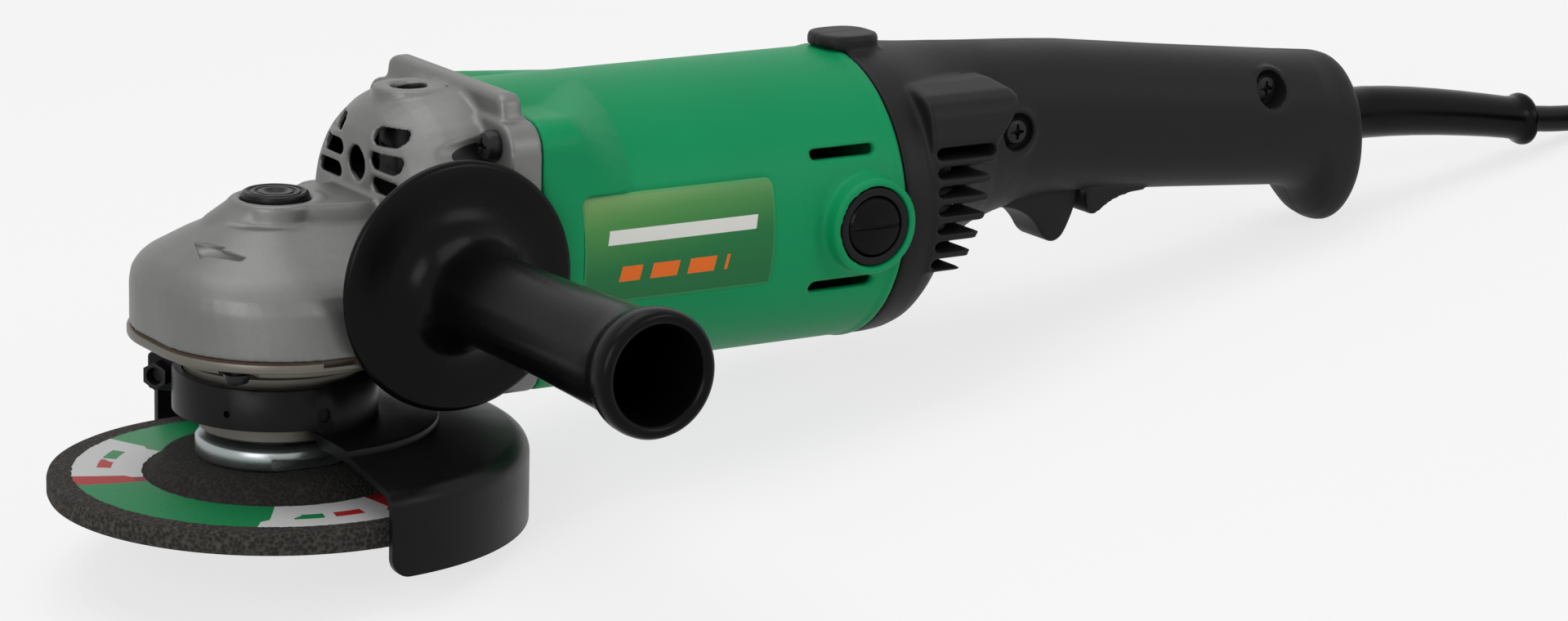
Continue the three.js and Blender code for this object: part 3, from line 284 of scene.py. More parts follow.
def copied(piece, move=(0, 0, 0)):
    twin = piece.copy()
    twin.data = piece.data.copy()
    bpy.context.collection.objects.link(twin)
    hold(twin)
    twin.location = move
    bpy.ops.object.transform_apply(location=True, rotation=False, scale=False)
    return twin


def turned_by(piece, degrees, axis, about=(0, 0, 0)):
    """Turns a piece round an axis through a point."""
    about = Vector(about)
    turn = Matrix.Translation(about) @ Matrix.Rotation(math.radians(degrees), 4, axis.upper()) \
        @ Matrix.Translation(-about)
    hold(piece)
    piece.matrix_world = turn @ piece.matrix_world
    bpy.ops.object.transform_apply(location=True, rotation=True, scale=False)
    return piece


def finish_piece(piece, name, body, material, stands_for=(), level_frame=True, smooth=35):
    """Lays the piece in place, gives it its finish, ties it to its body, and hides the solids it stands for."""
    hold(piece)
    piece.name = name
    piece.data.name = name
    if level_frame:
        piece.matrix_world = REST @ Matrix.Scale(MM, 4) @ piece.matrix_world
        bpy.ops.object.transform_apply(location=True, rotation=True, scale=True)
    if smooth >= 180:
        bpy.ops.object.shade_smooth()
    else:
        bpy.ops.object.shade_smooth_by_angle(angle=math.radians(smooth))
    piece.data.materials.clear()
    piece.data.materials.append(material)
    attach(piece, body)
    if stands_for:
        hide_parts(*stands_for)
    return piece


# ---- Materials ----
class Value:
    """A socket that takes part in sums, each of which adds its own Math node."""

    def __init__(self, finish, socket):
        self.finish = finish
        self.socket = socket

    def sum(self, operation, *values):
        return self.finish.node("Math", {"operation": operation}, list(values))

    def __add__(self, other):
        return self.sum("ADD", self, other)

    __radd__ = __add__

    def __sub__(self, other):
        return self.sum("SUBTRACT", self, other)

    def __rsub__(self, other):
        return self.sum("SUBTRACT", other, self)

    def __mul__(self, other):
        return self.sum("MULTIPLY", self, other)

    __rmul__ = __mul__

    def __truediv__(self, other):
        return self.sum("DIVIDE", self, other)

    def __pow__(self, other):
        return self.sum("POWER", self, other)

    def above(self, other):
        return self.sum("GREATER_THAN", self, other)

    def below(self, other):
        return self.sum("LESS_THAN", self, other)

    def between(self, low, high):
        return self.above(low) * self.below(high)


class Finish:
    """A material under construction."""

    def __init__(self, name):
        self.material = bpy.data.materials.new(name)
        self.material.use_nodes = True
        self.tree = self.material.node_tree
        self.tree.nodes.clear()
        self.place = None

    def node(self, kind, settings=None, values=(), out=0):
        """Adds a node. Settings come first, then its sockets by order or by name."""
        made = self.tree.nodes.new("ShaderNode" + kind)
        for key, setting in (settings or {}).items():
            if key == "stops":
                ramp = made.color_ramp
                while len(ramp.elements) < len(setting):
                    ramp.elements.new(1)
                for element, (spot, colour) in zip(ramp.elements, setting):
                    element.position = spot
                    element.color = (*colour, 1)
            else:
                setattr(made, key, setting)
        pairs = values.items() if isinstance(values, dict) else enumerate(values)
        for key, value in pairs:
            if isinstance(value, Value):
                self.tree.links.new(value.socket, made.inputs[key])
            elif value is not None:
                made.inputs[key].default_value = value
        return Value(self, made.outputs[out]) if len(made.outputs) else made

    def spot(self):
        """Where a point is on the level tool, in millimetres."""
        if self.place is None:
            here = self.node("TexCoord", out="Object")
            self.place = self.node("Mapping", {"vector_type": "TEXTURE"},
                                   {"Vector": here, "Location": REST_AT, "Rotation": (0, TILT, 0),
                                    "Scale": (MM, MM, MM)})
        return self.place

    def xyz(self, vector=None):
        vector = vector or self.spot()
        made = self.tree.nodes.new("ShaderNodeSeparateXYZ")
        self.tree.links.new(vector.socket, made.inputs[0])
        return [Value(self, made.outputs[k]) for k in range(3)]

    def noise(self, size, detail=3, roughness=0.5, stretch=None):
        vector = self.spot()
        if stretch:
            vector = self.node("Mapping", None, {"Vector": vector, "Scale": stretch})
        return self.node("TexNoise", None, {"Vector": vector, "Scale": 1 / size, "Detail": detail,
                                            "Roughness": roughness})

    def cells(self, size, feature="F1"):
        return self.node("TexVoronoi", {"feature": feature}, {"Vector": self.spot(), "Scale": 1 / size})

    def ramp(self, value, *stops):
        return self.node("ValToRGB", {"stops": stops}, [value])

    def blend(self, share, first, second):
        """Colour that goes from first to second as share goes from 0 to 1."""
        first, second = (c if isinstance(c, Value) else (*c, 1) for c in (first, second))
        return self.node("Mix", {"data_type": "RGBA"}, {0: share, 6: first, 7: second}, out=2)

    def bump(self, height, depth, strength=1.0, below=None):
        return self.node("Bump", None, {"Strength": strength, "Distance": depth * MM, "Height": height,
                                        "Normal": below})

    def done(self, colour, roughness, metallic=0.0, normal=None, **sockets):
        values = {"Base Color": colour if isinstance(colour, Value) else (*colour, 1),
                  "Roughness": roughness, "Metallic": metallic, "Normal": normal}
        values.update({key.replace("_", " "): value for key, value in sockets.items()})
        shader = self.node("BsdfPrincipled", None, values)
        self.node("OutputMaterial", None, {"Surface": shader})
        return self.material


def shade(colour, share):
    return tuple(channel * share for channel in colour)


def moulded_plastic(name, colour, roughness, grain=0.5, depth=0.02, drift=0.85, **sockets):
    """Plastic with a fine mould texture, and colour and gloss that drift a little."""
    f = Finish(name)
    cloud = f.noise(35, 2)
    texture = f.noise(grain, 2, 0.6)
    tint = f.blend(cloud, shade(colour, drift), shade(colour, 2 - drift))
    return f.done(tint, roughness + (cloud - 0.5) * 0.12 + (texture - 0.5) * 0.08, 0.0,
                  f.bump(texture, depth), **sockets)


def plain_metal(name, colour, roughness, metallic=1.0, grain=0.3, depth=0.01, stretch=None, drift=0.8,
                **sockets):
    """Metal with fine machining or blasting marks and slight stains."""
    f = Finish(name)
    cloud = f.noise(14, 4, 0.6)
    marks = f.noise(grain, 3, 0.6, stretch)
    tint = f.blend(cloud, shade(colour, drift), shade(colour, 2 - drift))
    return f.done(tint, roughness + (cloud - 0.5) * 0.2 + (marks - 0.5) * 0.15, metallic,
                  f.bump(marks, depth), **sockets)


def casting_metal():
    """Blasted die casting: grey, faintly mottled, with a fine skin and darker pores."""
    f = Finish("blasted casting")
    cloud = f.noise(22, 4, 0.55)
    skin = f.noise(0.55, 3, 0.65)
    pores = f.cells(1.3)
    speck = pores.below(0.12) * 0.25
    tint = f.blend(cloud, (0.135, 0.135, 0.132), (0.205, 0.205, 0.20))
    tint = f.blend(speck, tint, (0.06, 0.06, 0.06))
    # Painted shade: the inside of the air duct, where no light reaches, is painted near black and made non-metallic.
    x, y, z = f.xyz()
    up = z - 5
    across = (y * y + up * up) ** 0.5
    skin_at = 41 - 16.5 * f.node("Math", {"operation": "EXPONENT"}, [(x - 24.5) / -6.5])
    inside = across.below(skin_at - 2.6) * x.between(26.2, 51) * z.above(12)
    tint = f.blend(inside, tint, (0.002, 0.002, 0.002))
    height = skin * 0.7 + f.noise(3.0, 2) * 0.6
    return f.done(tint, 0.46 + (cloud - 0.5) * 0.16 + (skin - 0.5) * 0.2, 0.6 * (1 - inside), f.bump(height,
                                                                                                     0.05),
                  Specular_IOR_Level=0.3)


def label_print():
    """Printed film: yellow-green fading to dark green from the tail down, a thin pale border."""
    f = Finish("printed label")
    x, _, z = f.xyz()
    along = (x - 73) / 62
    up = (z + 15) / 31
    fade = f.ramp(up * 0.8 + (1 - along) * 0.25, (0.0, (0.006, 0.13, 0.035)), (0.45, (0.012, 0.16, 0.045)),
                  (0.8, (0.07, 0.25, 0.06)), (1.0, (0.16, 0.33, 0.09)))
    inner_edge = x.between(73.9, 134.1) * z.between(-14.1, 15.1)
    tint = f.blend((1 - inner_edge) * 0.5, fade, (0.02, 0.28, 0.09))
    # A plain white bar and three slanted orange stripes stand in for the printing.
    slant = x + z * -0.18
    white = slant.between(80, 128) * z.between(2.2, 6.2)
    stripe = (slant / 12).sum("FRACT", slant / 12)
    orange = slant.between(86, 121) * stripe.below(0.72) * z.between(-8.6, -4.2)
    tint = f.blend(white, tint, (0.72, 0.72, 0.68))
    tint = f.blend(orange, tint, (0.80, 0.15, 0.012))
    return f.done(tint, 0.36 + f.noise(8, 2) * 0.08, 0.0, f.bump(f.noise(0.8, 2), 0.008),
                  Coat_Weight=0.15, Coat_Roughness=0.2, Specular_IOR_Level=0.15)


def abrasive_wheel():
    """Coarse resin-bonded grit, with a printed paper ring on its front and a dark hub."""
    f = Finish("bonded abrasive")
    x, y, z = f.xyz()
    radius = (x * x + y * y) ** 0.5
    angle = y.sum("ARCTAN2", y, x)
    turn = angle / (2 * math.pi) + 0.5
    grit = f.cells(1.15)
    fine = f.noise(0.5, 3, 0.7)
    grain = f.ramp(grit * 0.7 + fine * 0.4, (0.15, (0.010, 0.009, 0.008)), (0.5, (0.030, 0.027, 0.024)),
                   (0.9, (0.085, 0.078, 0.070)))
    ragged = f.noise(2.2, 3, 0.7)
    edge = radius + (ragged - 0.5) * 1.6
    paper = edge.between(36.6, 55.7) * z.above(-64.5)
    # Four wedges of print: two green, one white, each ended by a red bar with a toothed border.
    zigzag = (turn * 140).sum("PINGPONG", turn * 140, 1.0) * 0.006
    swing = (turn + zigzag + (radius - 46) * 0.0006)
    lap = (swing * 3).sum("FRACT", swing * 3)
    white = lap.between(0.52, 0.86)
    red = lap.between(0.86, 0.93)
    dark = radius.below(39.5)
    tint = f.blend(white, (0.006, 0.20, 0.065), (0.60, 0.61, 0.60))
    tint = f.blend(red, tint, (0.36, 0.018, 0.018))
    tint = f.blend(red * dark, tint, (0.20, 0.010, 0.010))
    print_marks = radius.between(43.5, 50.5) * lap.between(0.58, 0.80)
    tint = f.blend(print_marks * radius.between(45, 49) * lap.between(0.60, 0.68), tint, (0.006, 0.20, 0.065))
    tint = f.blend(print_marks * radius.between(45, 49) * lap.between(0.70, 0.78), tint, (0.40, 0.02, 0.02))
    tint = f.blend(fine * 0.18, tint, (0.02, 0.02, 0.02))
    # The grit inside radius 36.6, round the hub, is blended towards dark grey.
    hub = radius.below(36.6)
    hub_darkened = f.blend(hub * 0.6, grain, (0.012, 0.012, 0.012))
    colour = f.blend(paper, hub_darkened, tint)
    rough = 0.92 - paper * 0.42
    height = (grit * 0.7 + fine * 0.5) * (1 - paper * 0.85)
    return f.done(colour, rough, 0.0, f.bump(height, 0.55), Specular_IOR_Level=0.2)


CASTING = casting_metal()
MACHINED = plain_metal("machined casting", (0.135, 0.125, 0.108), 0.42, 0.8, 0.4, 0.015, (1, 1, 6))
ZINC = plain_metal("zinc plate", (0.30, 0.33, 0.33), 0.30, 0.9, 0.3, 0.012)
STEEL = plain_metal("ground steel", (0.36, 0.36, 0.37), 0.30)
BEARING = plain_metal("bearing steel", (0.40, 0.40, 0.41), 0.22)
BLACKED = plain_metal("blacked steel", (0.020, 0.020, 0.021), 0.36, 0.55, 0.25, 0.01, Specular_IOR_Level=0.2)
COPPER = plain_metal("varnished copper", (0.42, 0.17, 0.07), 0.38, 0.9, 0.5, 0.03, (1, 6, 6))
BRASS = plain_metal("plain brass", (0.62, 0.46, 0.18), 0.30)
IRON = plain_metal("stacked iron", (0.16, 0.16, 0.165), 0.5, 0.8, 0.5, 0.03, (6, 0.4, 0.4))
GUARD_PAINT = plain_metal("guard black paint", (0.004, 0.004, 0.004), 0.34, 0.0, 0.9, 0.02,
                          Specular_IOR_Level=0.13)
GREEN = moulded_plastic("green nylon", (0.004, 0.262, 0.094), 0.46, 0.7, 0.02, 0.9, Specular_IOR_Level=0.13)
NYLON = moulded_plastic("black nylon", (0.008, 0.008, 0.008), 0.5, 0.55, 0.045, Specular_IOR_Level=0.16)
DARK = moulded_plastic("black phenolic", (0.006, 0.006, 0.006), 0.36, 0.8, 0.02, Specular_IOR_Level=0.14)
GLOSSY = moulded_plastic("glossy black nylon", (0.002, 0.002, 0.0022), 0.26, 1.6, 0.012,
                         Specular_IOR_Level=0.09)
RUBBER = moulded_plastic("black rubber", (0.005, 0.005, 0.0055), 0.36, 1.2, 0.015, Specular_IOR_Level=0.13)
CARBON = moulded_plastic("pressed carbon", (0.03, 0.03, 0.03), 0.7, 0.4, 0.05)
FAN_NYLON = moulded_plastic("fan nylon", (0.02, 0.02, 0.02), 0.5)
GASKET = moulded_plastic("brown gasket", (0.05, 0.022, 0.01), 0.75, 0.6, 0.05)
LABEL = label_print()
ABRASIVE = abrasive_wheel()

# ---- Free cord, coil and plug, in their resting place ----
CORD_R = 4.25
LEAD = [(257.4, 40.2, 10.45), (261.5, 40.2, 9.3), (266, 40.2, 8.1), (270.5, 40.2, 7.05), (275, 40.2, 6.1),
        (280, 40.2, 5.3), (285, 40.2, 4.75), (290.3, 40.2, 4.4), (295.6, 40.2, 4.28), (302, 40.17, 4.25),
        (309, 40.15, 4.25), (316, 40.15, 4.25), (323, 40.15, 4.25)]
TAIL = [(390.8, -32, 12.3), (390.85, -40, 11.5), (390.9, -48, 10.6), (391, -55.5, 9.8), (391.2, -66, 8.9),
        (391.4, -76, 8.55), (391.5, -85.2, 8.5)]
COIL_AT = (330, -20.6)
COLUMNS = (60.75, 52.25, 43.75, 35.25)
SHIFT = 60  # degrees in which a turn moves over to the next place


def coil_route():
    """Four turns inwards on the floor, and four outwards on top of them."""
    places = [(r, 4.25) for r in COLUMNS] + [(r, 12.75) for r in reversed(COLUMNS)]
    places.append(places[-1])
    route = []
    for k in range(8):
        (r0, z0), (r1, z1) = places[k], places[k + 1]
        for step in range(24):
            share = max(0, (step * 15 - (360 - SHIFT)) / SHIFT)
            ease = share * share * (3 - 2 * share)
            angle = math.radians(90 - step * 15)
            radius = r0 + (r1 - r0) * ease
            route.append((COIL_AT[0] + radius * math.cos(angle), COIL_AT[1] + radius * math.sin(angle),
                          z0 + (z1 - z0) * ease))
    for step in range(6):
        angle = math.radians(90 - step * 15)
        route.append((COIL_AT[0] + 60.75 * math.cos(angle), COIL_AT[1] + 60.75 * math.sin(angle), 12.75))
    return route


def length_of(route):
    return sum((Vector(b) - Vector(a)).length for a, b in zip(route, route[1:]))


def make_cord():
    route = LEAD + coil_route() + [(390.75, -20.6, 12.7)] + TAIL
    line = bpy.data.curves.new("mains_cord", "CURVE")
    line.dimensions = "3D"
    line.bevel_depth = CORD_R * MM
    line.bevel_resolution = 4
    line.use_fill_caps = True
    spline = line.splines.new("POLY")
    spline.points.add(len(route) - 1)
    for point, spot in zip(spline.points, route):
        point.co = (*(c * MM for c in spot), 1)
    spline.use_smooth = True
    cord = bpy.data.objects.new("mains_cord", line)
    bpy.context.collection.objects.link(cord)
    line.materials.append(RUBBER)
    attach(cord, "housing")
    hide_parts("power_cord", "cord_coil", "cord_plug_end")
    return cord, length_of(route) * MM


def make_plug():
    """Moulded two-blade plug with a ribbed strain relief, lying on the floor."""
    x, y, z = 391.5, -85.3, 8.5
    outline = circle(1, steps=40, power=0.7)
    stations = [(0, 5.2, 5.2), (12, 7.4, 6.6), (15, 11, 7.6), (20, 13, 8.4), (37, 13, 8.4), (39, 11.5, 7.2)]
    stations = [(-d, w, h, -h) for d, w, h in stations]
    body = loft(outline, stations)
    grooves = [ring(9, r, -d - 0.9, -d, "x", steps=48) for d, r in ((2.5, 4.9), (5, 5.4), (7.5, 5.9))]
    body = bevelled(cut(body, *grooves), 0.4, 2, 40)
    body = turned_by(body, 90, "z")
    hold(body)
    body.location = (x, y, z)
    bpy.ops.object.transform_apply(location=True)
    hold(body)
    body.scale = (MM, MM, MM)
    bpy.ops.object.transform_apply(scale=True)
    return finish_piece(body, "mains_plug", "housing", RUBBER, ["plug_body"], False)


def make_blade(side):
    """A plug blade with a hole and a rounded tip."""
    x = 391.5 + side * 6.35
    outline = [(-124.6, 5.35), (-139, 5.35), (-140.6, 6.6), (-140.6, 10.4), (-139, 11.65), (-124.6, 11.65)]
    blade = prism(outline, "x", x - 0.75, x + 0.75)
    blade = cut(blade, rod(1.6, x - 3, x + 3, "x", (0, -136, 8.5), 24))
    blade = bevelled(blade, 0.15, 2, 40)
    hold(blade)
    blade.scale = (MM, MM, MM)
    bpy.ops.object.transform_apply(scale=True)
    name = f"plug_blade_{1 if side < 0 else 2}"
    return finish_piece(blade, f"brass_blade_{1 if side < 0 else 2}", "housing", BRASS,
                        [name], False)


cord, cord_length = make_cord()
plug = make_plug()
blades = [make_blade(side) for side in (-1, 1)]
print("cord length", round(cord_length, 3))


# ---- Gear housing ----
DOME_CUTS = ((24.5, 8, 24.5), (26, 7.6, 27.6), (28, 7, 30.6), (30.5, 6, 33.4), (34, 5, 36.6), (38, 4, 38.9),
             (44, 3.4, 40.2), (50, 3, 41))
SOCKET = {"x": 32.4, "z": -3.3, "face": 42.4}
FLANGE_SCREWS = [(y, z) for y in (32.5, -32.5) for z in (31.5, -31.5)]
RETAINER_SCREWS = [(x, y) for x in (25.1, -25.1) for y in (27.4, -27.4)]


def dome(inset, front, back):
    """Air duct over the gears: round sections that open out towards the motor, flat on top."""
    rings = []
    for k, (x, centre, radius) in enumerate(DOME_CUTS):
        x += front if k == 0 else back if k == len(DOME_CUTS) - 1 else 0
        rings.append([(x, a, min(max(b, -12), 42.6 - inset))
                      for a, b in circle(radius - inset, 0, centre, 48)])
    return hull(*rings)


def nose():
    """Nose over the spindle: plumb sides, a rolled shoulder and a roof that rises to the button."""
    levels = [(-20.5, -37.2, 41.8, 35.5), (-8, -37.8, 39.4, 34), (-4.5, -37.5, 37.4, 32.4), (-2.2, -36.5, 35,
                                                                                             30.4),
              (-0.6, -35.4, 33, 28.8), (0.8, -33.9, 30.9, 27.1), (6, -25.4, 21.5, 19), (9.8, -17.6, 14.5, 13)]
    fronts = [level(rounded(front, 40, -w, w, corner, 12), "z", z) for z, front, w, corner in levels]
    heels = [level(rounded(0, 40, -w, w, min(corner / 2, 18), 8), "z", z) for z, front, w, corner in levels]
    return hull(*fronts, *heels)


def side_boss(side):
    face = side * SOCKET["face"]
    start, end = sorted((side * 20, face))
    return rod(12, start, end, "y", (SOCKET["x"], 0, SOCKET["z"]), 64,)


def dome_slots():
    """Three air slots on each side of the front bore."""
    slots = []
    for z, inner, outer, height in ((32, 8.5, 19.5, 4.6), (25.3, 8, 22.4, 4.4), (18.6, 9, 23, 4.2)):
        for side in (1, -1):
            low, high = sorted((side * inner, side * outer))
            slots.append(prism(slot_outline(low, high, z, height), "x", 15, 38))
    return slots


def arrow_groove():
    """An arrow sunk in the near slope of the roof, to show which way the spindle turns."""
    head = [(-25.6, -2.6, 5.8), (-28.2, -11.4, 3.5), (-21.3, -13.2, 6.2)]
    shaft = [(-26.2, -9.9, 4.6), (-26.3, -12.6, 4.2), (-20.6, -20.4, 4.0), (-18.6, -19.8, 4.7), (-23.4,
                                                                                                 -11.2, 5.9)]
    up = Vector((-0.36, -0.30, 0.88)).normalized()
    parts = [hull(*[[tuple(Vector(p) + up * lift) for p in points] for lift in (-0.6,
                                                                                3)]) for points in (head,
                                                                                                    shaft)]
    return weld(*parts)


def make_gear_housing():
    x, z = SOCKET["x"], SOCKET["z"]
    flange = prism(rounded(-42, 42, -38, 38, 8), "x", 50, 59.7)
    ridge = bevelled(prism([(-36, 30), (36, 30), (33, 43), (31.6, 44.6), (30, 45), (-30, 45), (-31.6, 44.6),
                            (-33, 43)],
                           "x", 51.4, 58.2), 1.6, 3)
    belly = hull(level(rounded(-34, 34, -20.5, 10, 6), "x", 38), level(rounded(-38, 38, -34, 10, 6), "x", 51))
    boss = turned([(0, 4), (13.9, 4), (13.8, 9), (13.2, 14.9), (12.8, 15.6), (0, 15.6)], at=(0.6, 0, 0))
    ramp = hull(level(circle(11.6), "z", 15.4), level(circle(11.6, -7.4, 3.6), "z", 9.4),
                level(circle(10, -7, 3.5), "z", 4))
    saddle = hull(level(circle(12.4, 0.6), "z", 15.2), level(rounded(12, 27, -13.4, 13.4, 4), "z", 14.8),
                  level(circle(13.6, 0.6), "z", 5), level(rounded(12, 27, -17, 17, 4), "z", 5))
    top_boss = rod(10, 25, 43.1, "z", (40.7, 0, 0))
    body = weld(nose(), dome(0, 0, 0), flange, ridge, belly, boss, ramp, saddle, top_boss, side_boss(1),
                side_boss(-1))

    chamber = turned([(0, -21.5), (31.5, -21.5), (31.5, -6), (23.5, 2), (0, 2)])
    chamber = cut(chamber, rod(11.6, -4.2, 8))
    duct = cut(dome(3.5, 3.5, -2), rod(19.2, 0, 47, "x"), block(0, 48, -60, 60, -60, 15.5),
               rod(8.1, 20, 60, "z", (40.7, 0, 0)))
    tools = [chamber, rod(9.3, -5, 3.3), rod(6.3, 2, 5.1), rod(4.65, 2, 12), rod(8.8, 9, 30), rod(9.6, 13.4,
                                                                                                  30),
             rod(12.4, 12.3, 33, "x"), rod(8.5, 30, 61, "x"), rod(16.3, 35.7, 61, "x"),
             rod(34.5, 47, 61, "x"), duct, *dome_slots(),
             rod(5.1, -47.4, -27.4, "y", (x, 0, z)), rod(5.1, 27.4, 47.4, "y", (x, 0, z)),
             rod(5.1, 28.6, 60, "z", (40.7, 0, 0)), rod(4.8, 15, 34, "x", (0, 0, 22.5))]
    tools += [rod(2.3, -21.5, -11, "z", (sx, sy, 0), 24) for sx, sy in RETAINER_SCREWS]
    tools += [rod(2.5, 40, 61, "x", (0, sy, sz), 24) for sy, sz in FLANGE_SCREWS]
    tools += [rod(5.4, 28, 50, "x", (0, sy, sz), 32) for sy, sz in FLANGE_SCREWS]
    body = cut(moulded(cut(body, *tools), 0.75, 5), arrow_groove())
    return finish_piece(body, "cast_gear_housing", "housing", CASTING, ["gear_housing"],
                        smooth=180)


def make_gasket():
    """Paper gasket squeezed between the housing and the retainer plate."""
    sheet = prism(rounded(-36.9, 36.9, -41.4, 41.4, 34.6, 16), "z", -20.9, -20.44)
    sheet = cut(sheet, rod(31.8, -22, -19))
    return finish_piece(sheet, "housing_gasket", "housing", GASKET)


def make_retainer():
    """Machined plate, necked for the guard band, with a scallop and webs by each screw."""
    plate = bevelled(prism(rounded(-37.8, 37.8, -42.2, 42.2, 35.5, 20), "z", -23.5, -20.9), 0.5, 2)
    shelf = bevelled(prism(rounded(-33.4, 33.4, -37.6, 37.6, 32.4, 20), "z", -25.9, -23), 0.8, 2)
    scallops = [rod(6.2, -29, -24.4, "z", (sx * 1.04, sy * 1.04, 0), 40) for sx, sy in RETAINER_SCREWS]
    shelf = cut(shelf, *scallops)
    cone = turned([(0, -33.5), (25, -33.5), (25.4, -29.5), (29, -26.6), (29, -24), (0, -24)])
    neck = turned([(0, -48.6), (20.4, -48.6), (21, -48), (21, -43.9), (24.4, -43.9), (25, -43.3), (25, -24),
                   (0, -24)])
    body = weld(plate, shelf, cone, neck)
    bores = [rod(17.8, -36.4, -20, "z"), rod(10.5, -50, -30, "z")]
    bores += [rod(2.3, -30, -20, "z", (sx, sy, 0), 24) for sx, sy in RETAINER_SCREWS]
    bores.append(block(-6.6, 3.3, -46, -39.6, -22.2, -20))
    body = cut(body, *bores)
    return finish_piece(body, "retainer_plate", "housing", MACHINED,
                        ["bearing_retainer"])


def cross_screw(head, height, shank, length):
    """Round-headed screw standing head up, its cross recess cut in the head and a washer under it."""
    top = turned([(0, 0), (head, 0), (head, height * 0.45), (head * 0.82, height * 0.82), (head * 0.45,
                                                                                           height),
                  (0, height)], steps=40)
    arms = weld(block(-head * 0.56, head * 0.56, -0.42, 0.42, height * 0.35, height + 2),
                block(-0.42, 0.42, -head * 0.56, head * 0.56, height * 0.35, height + 2))
    heart = rod(0.3, height * 0.3, height + 0.6, "z", sides=16, tip=1.5)
    stem = rod(shank, -length, 0.5, "z", sides=24, tip=shank)
    return bevelled(weld(cut(top, weld(arms, heart)), stem), 0.12, 2, 40)


AIM = {"+x": (90, "y"), "-x": (-90, "y"), "-y": (90, "x"), "+y": (-90, "x"), "-z": (180, "x"), "+z": (0, "x")}


def screw_in(model, at, way, name, body, node):
    """Sets a copy of a screw in its hole, head pointing the given way."""
    screw = copied(model)
    degrees, axis = AIM[way]
    screw = turned_by(screw, degrees, axis)
    hold(screw)
    screw.location = at
    bpy.ops.object.transform_apply(location=True)
    return finish_piece(screw, name, body, BLACKED, [node])


def make_housing_screws():
    retainer = cross_screw(3.6, 3, 2, 8.5)
    for k, (sx, sy) in enumerate([(25.1, 27.4), (25.1, -27.4), (-25.1, 27.4), (-25.1, -27.4)], 1):
        screw_in(retainer, (sx, sy, -24.7), "-z", f"retainer_cross_screw_{k}", "housing",
                 f"retainer_screw_{k}")
    flange = cross_screw(4.3, 4, 2.2, 18)
    for k, (sy, sz) in enumerate([(32.5, 31.5), (32.5, -31.5), (-32.5, 31.5), (-32.5, -31.5)], 1):
        screw_in(flange, (49.7, sy, sz), "-x", f"flange_cross_screw_{k}", "housing",
                 f"flange_screw_{k}")
    for model in (retainer, flange):
        bpy.data.objects.remove(model)


def make_lock_button():
    """Push button of the spindle lock, ringed on its face."""
    body = turned([(0, 9.3), (4.15, 9.3), (4.15, 15.2), (7.2, 15.2), (7.2, 13.3), (8.5, 13.3), (8.5, 14.6),
                   (9.3, 14.8),
                   (9.4, 16.2), (9.1, 16.9), (8.4, 17.3), (7.9, 17.2), (7.6, 16.8), (7.1, 16.8), (6.8, 17.2),
                   (5.9, 17.2),
                   (5.6, 16.8), (5.1, 16.8), (4.8, 17.2), (3.6, 17.3), (3.2, 17.1), (2.4, 16.5), (0, 16.3)],
                   steps=72)
    tongue = block(-3.9, 3.9, -1.1, 1.1, 4.9, 9.8)
    return finish_piece(bevelled(weld(body, tongue), 0.2, 2, 50), "spindle_lock_button", "lock_button",
                        DARK, ["lock_button"])


# ---- Motor housing ----
MOTOR_R = 42.4


def make_motor_housing():
    """Barrel whose square front blends into a round tail, with air slots and two brush collars."""
    square = rounded(-42, 42, -38, 38, 8.5)
    front = hull(level(square, "x", 60), level(square, "x", 71))
    steps = (71, 74, 78, 82, 86, 90)
    rings = []
    for k, x in enumerate(steps):
        share = k / (len(steps) - 1)
        ease = share * share * (3 - 2 * share)
        w, h, r = 42 + 0.4 * ease, 38 + 4.4 * ease, 8.5 + 33.5 * ease
        rings.append(level(rounded(-w, w, -h, h, min(r, w - 0.1, h - 0.1)), "x", x))
    blend = hull(*rings)
    barrel = rod(MOTOR_R, 60, 179, "x", sides=160)
    rim = ring(MOTOR_R + 0.5, 40, 176.6, 179, "x", steps=160)
    collar = turned([(0, -48), (13.3, -48), (13.9, -47.2), (14.1, -30), (14.1, 30), (13.9, 47.2), (13.3, 48),
                     (0, 48)],
                    "y", (165, 0, 0))
    body = weld(front, blend, barrel, rim, collar)
    tools = [rod(39.4, 59, 177, "x", sides=128), rod(11.6, -60, 60, "y", (165, 0, 0)), rod(14, 170, 190, "x")]
    tools += [prism(slot_outline(149, 171, z, 3.2), "y", -60, 60) for z in (20, -18)]
    tools += [rod(2.5, 59, 71, "x", (0, sy, sz), 24) for sy, sz in FLANGE_SCREWS]
    body = cut(body, *tools)
    recess = common(ring(MOTOR_R + 6, MOTOR_R - 0.55, 50, 170, "x", steps=160),
                    prism([(x, z) for x, z in rounded(72.6, 135.4, -15.4, 16.4, 3)], "y", -60, 0))
    body = moulded(cut(body, recess), 0.8, 4)
    return finish_piece(body, "motor_housing_shell", "housing", GREEN,
                        ["motor_housing"], smooth=180)


def make_rear_spider():
    """Cup and spokes that carry the rear bearing inside the barrel."""
    cup = ring(14, 11.3, 176, 188, "x", steps=64)
    spokes = [turned_by(block(176.2, 178.8, -3, 3, 13, 39.6), 90 * (k + 0.5), "x") for k in range(4)]
    body = bevelled(weld(cup, *spokes), 0.4, 2, 40)
    return finish_piece(body, "rear_bearing_spider", "housing", GREEN)


def make_label():
    """Printed film let into the side of the barrel."""
    patch = common(ring(MOTOR_R - 0.06, MOTOR_R - 0.5, 50, 170, "x", steps=200),
                   prism(rounded(73.1, 134.9, -14.9, 15.9, 2.6), "y", -60, 0))
    return finish_piece(patch, "side_label_film", "housing", LABEL, ["side_label"],
                        smooth=25)


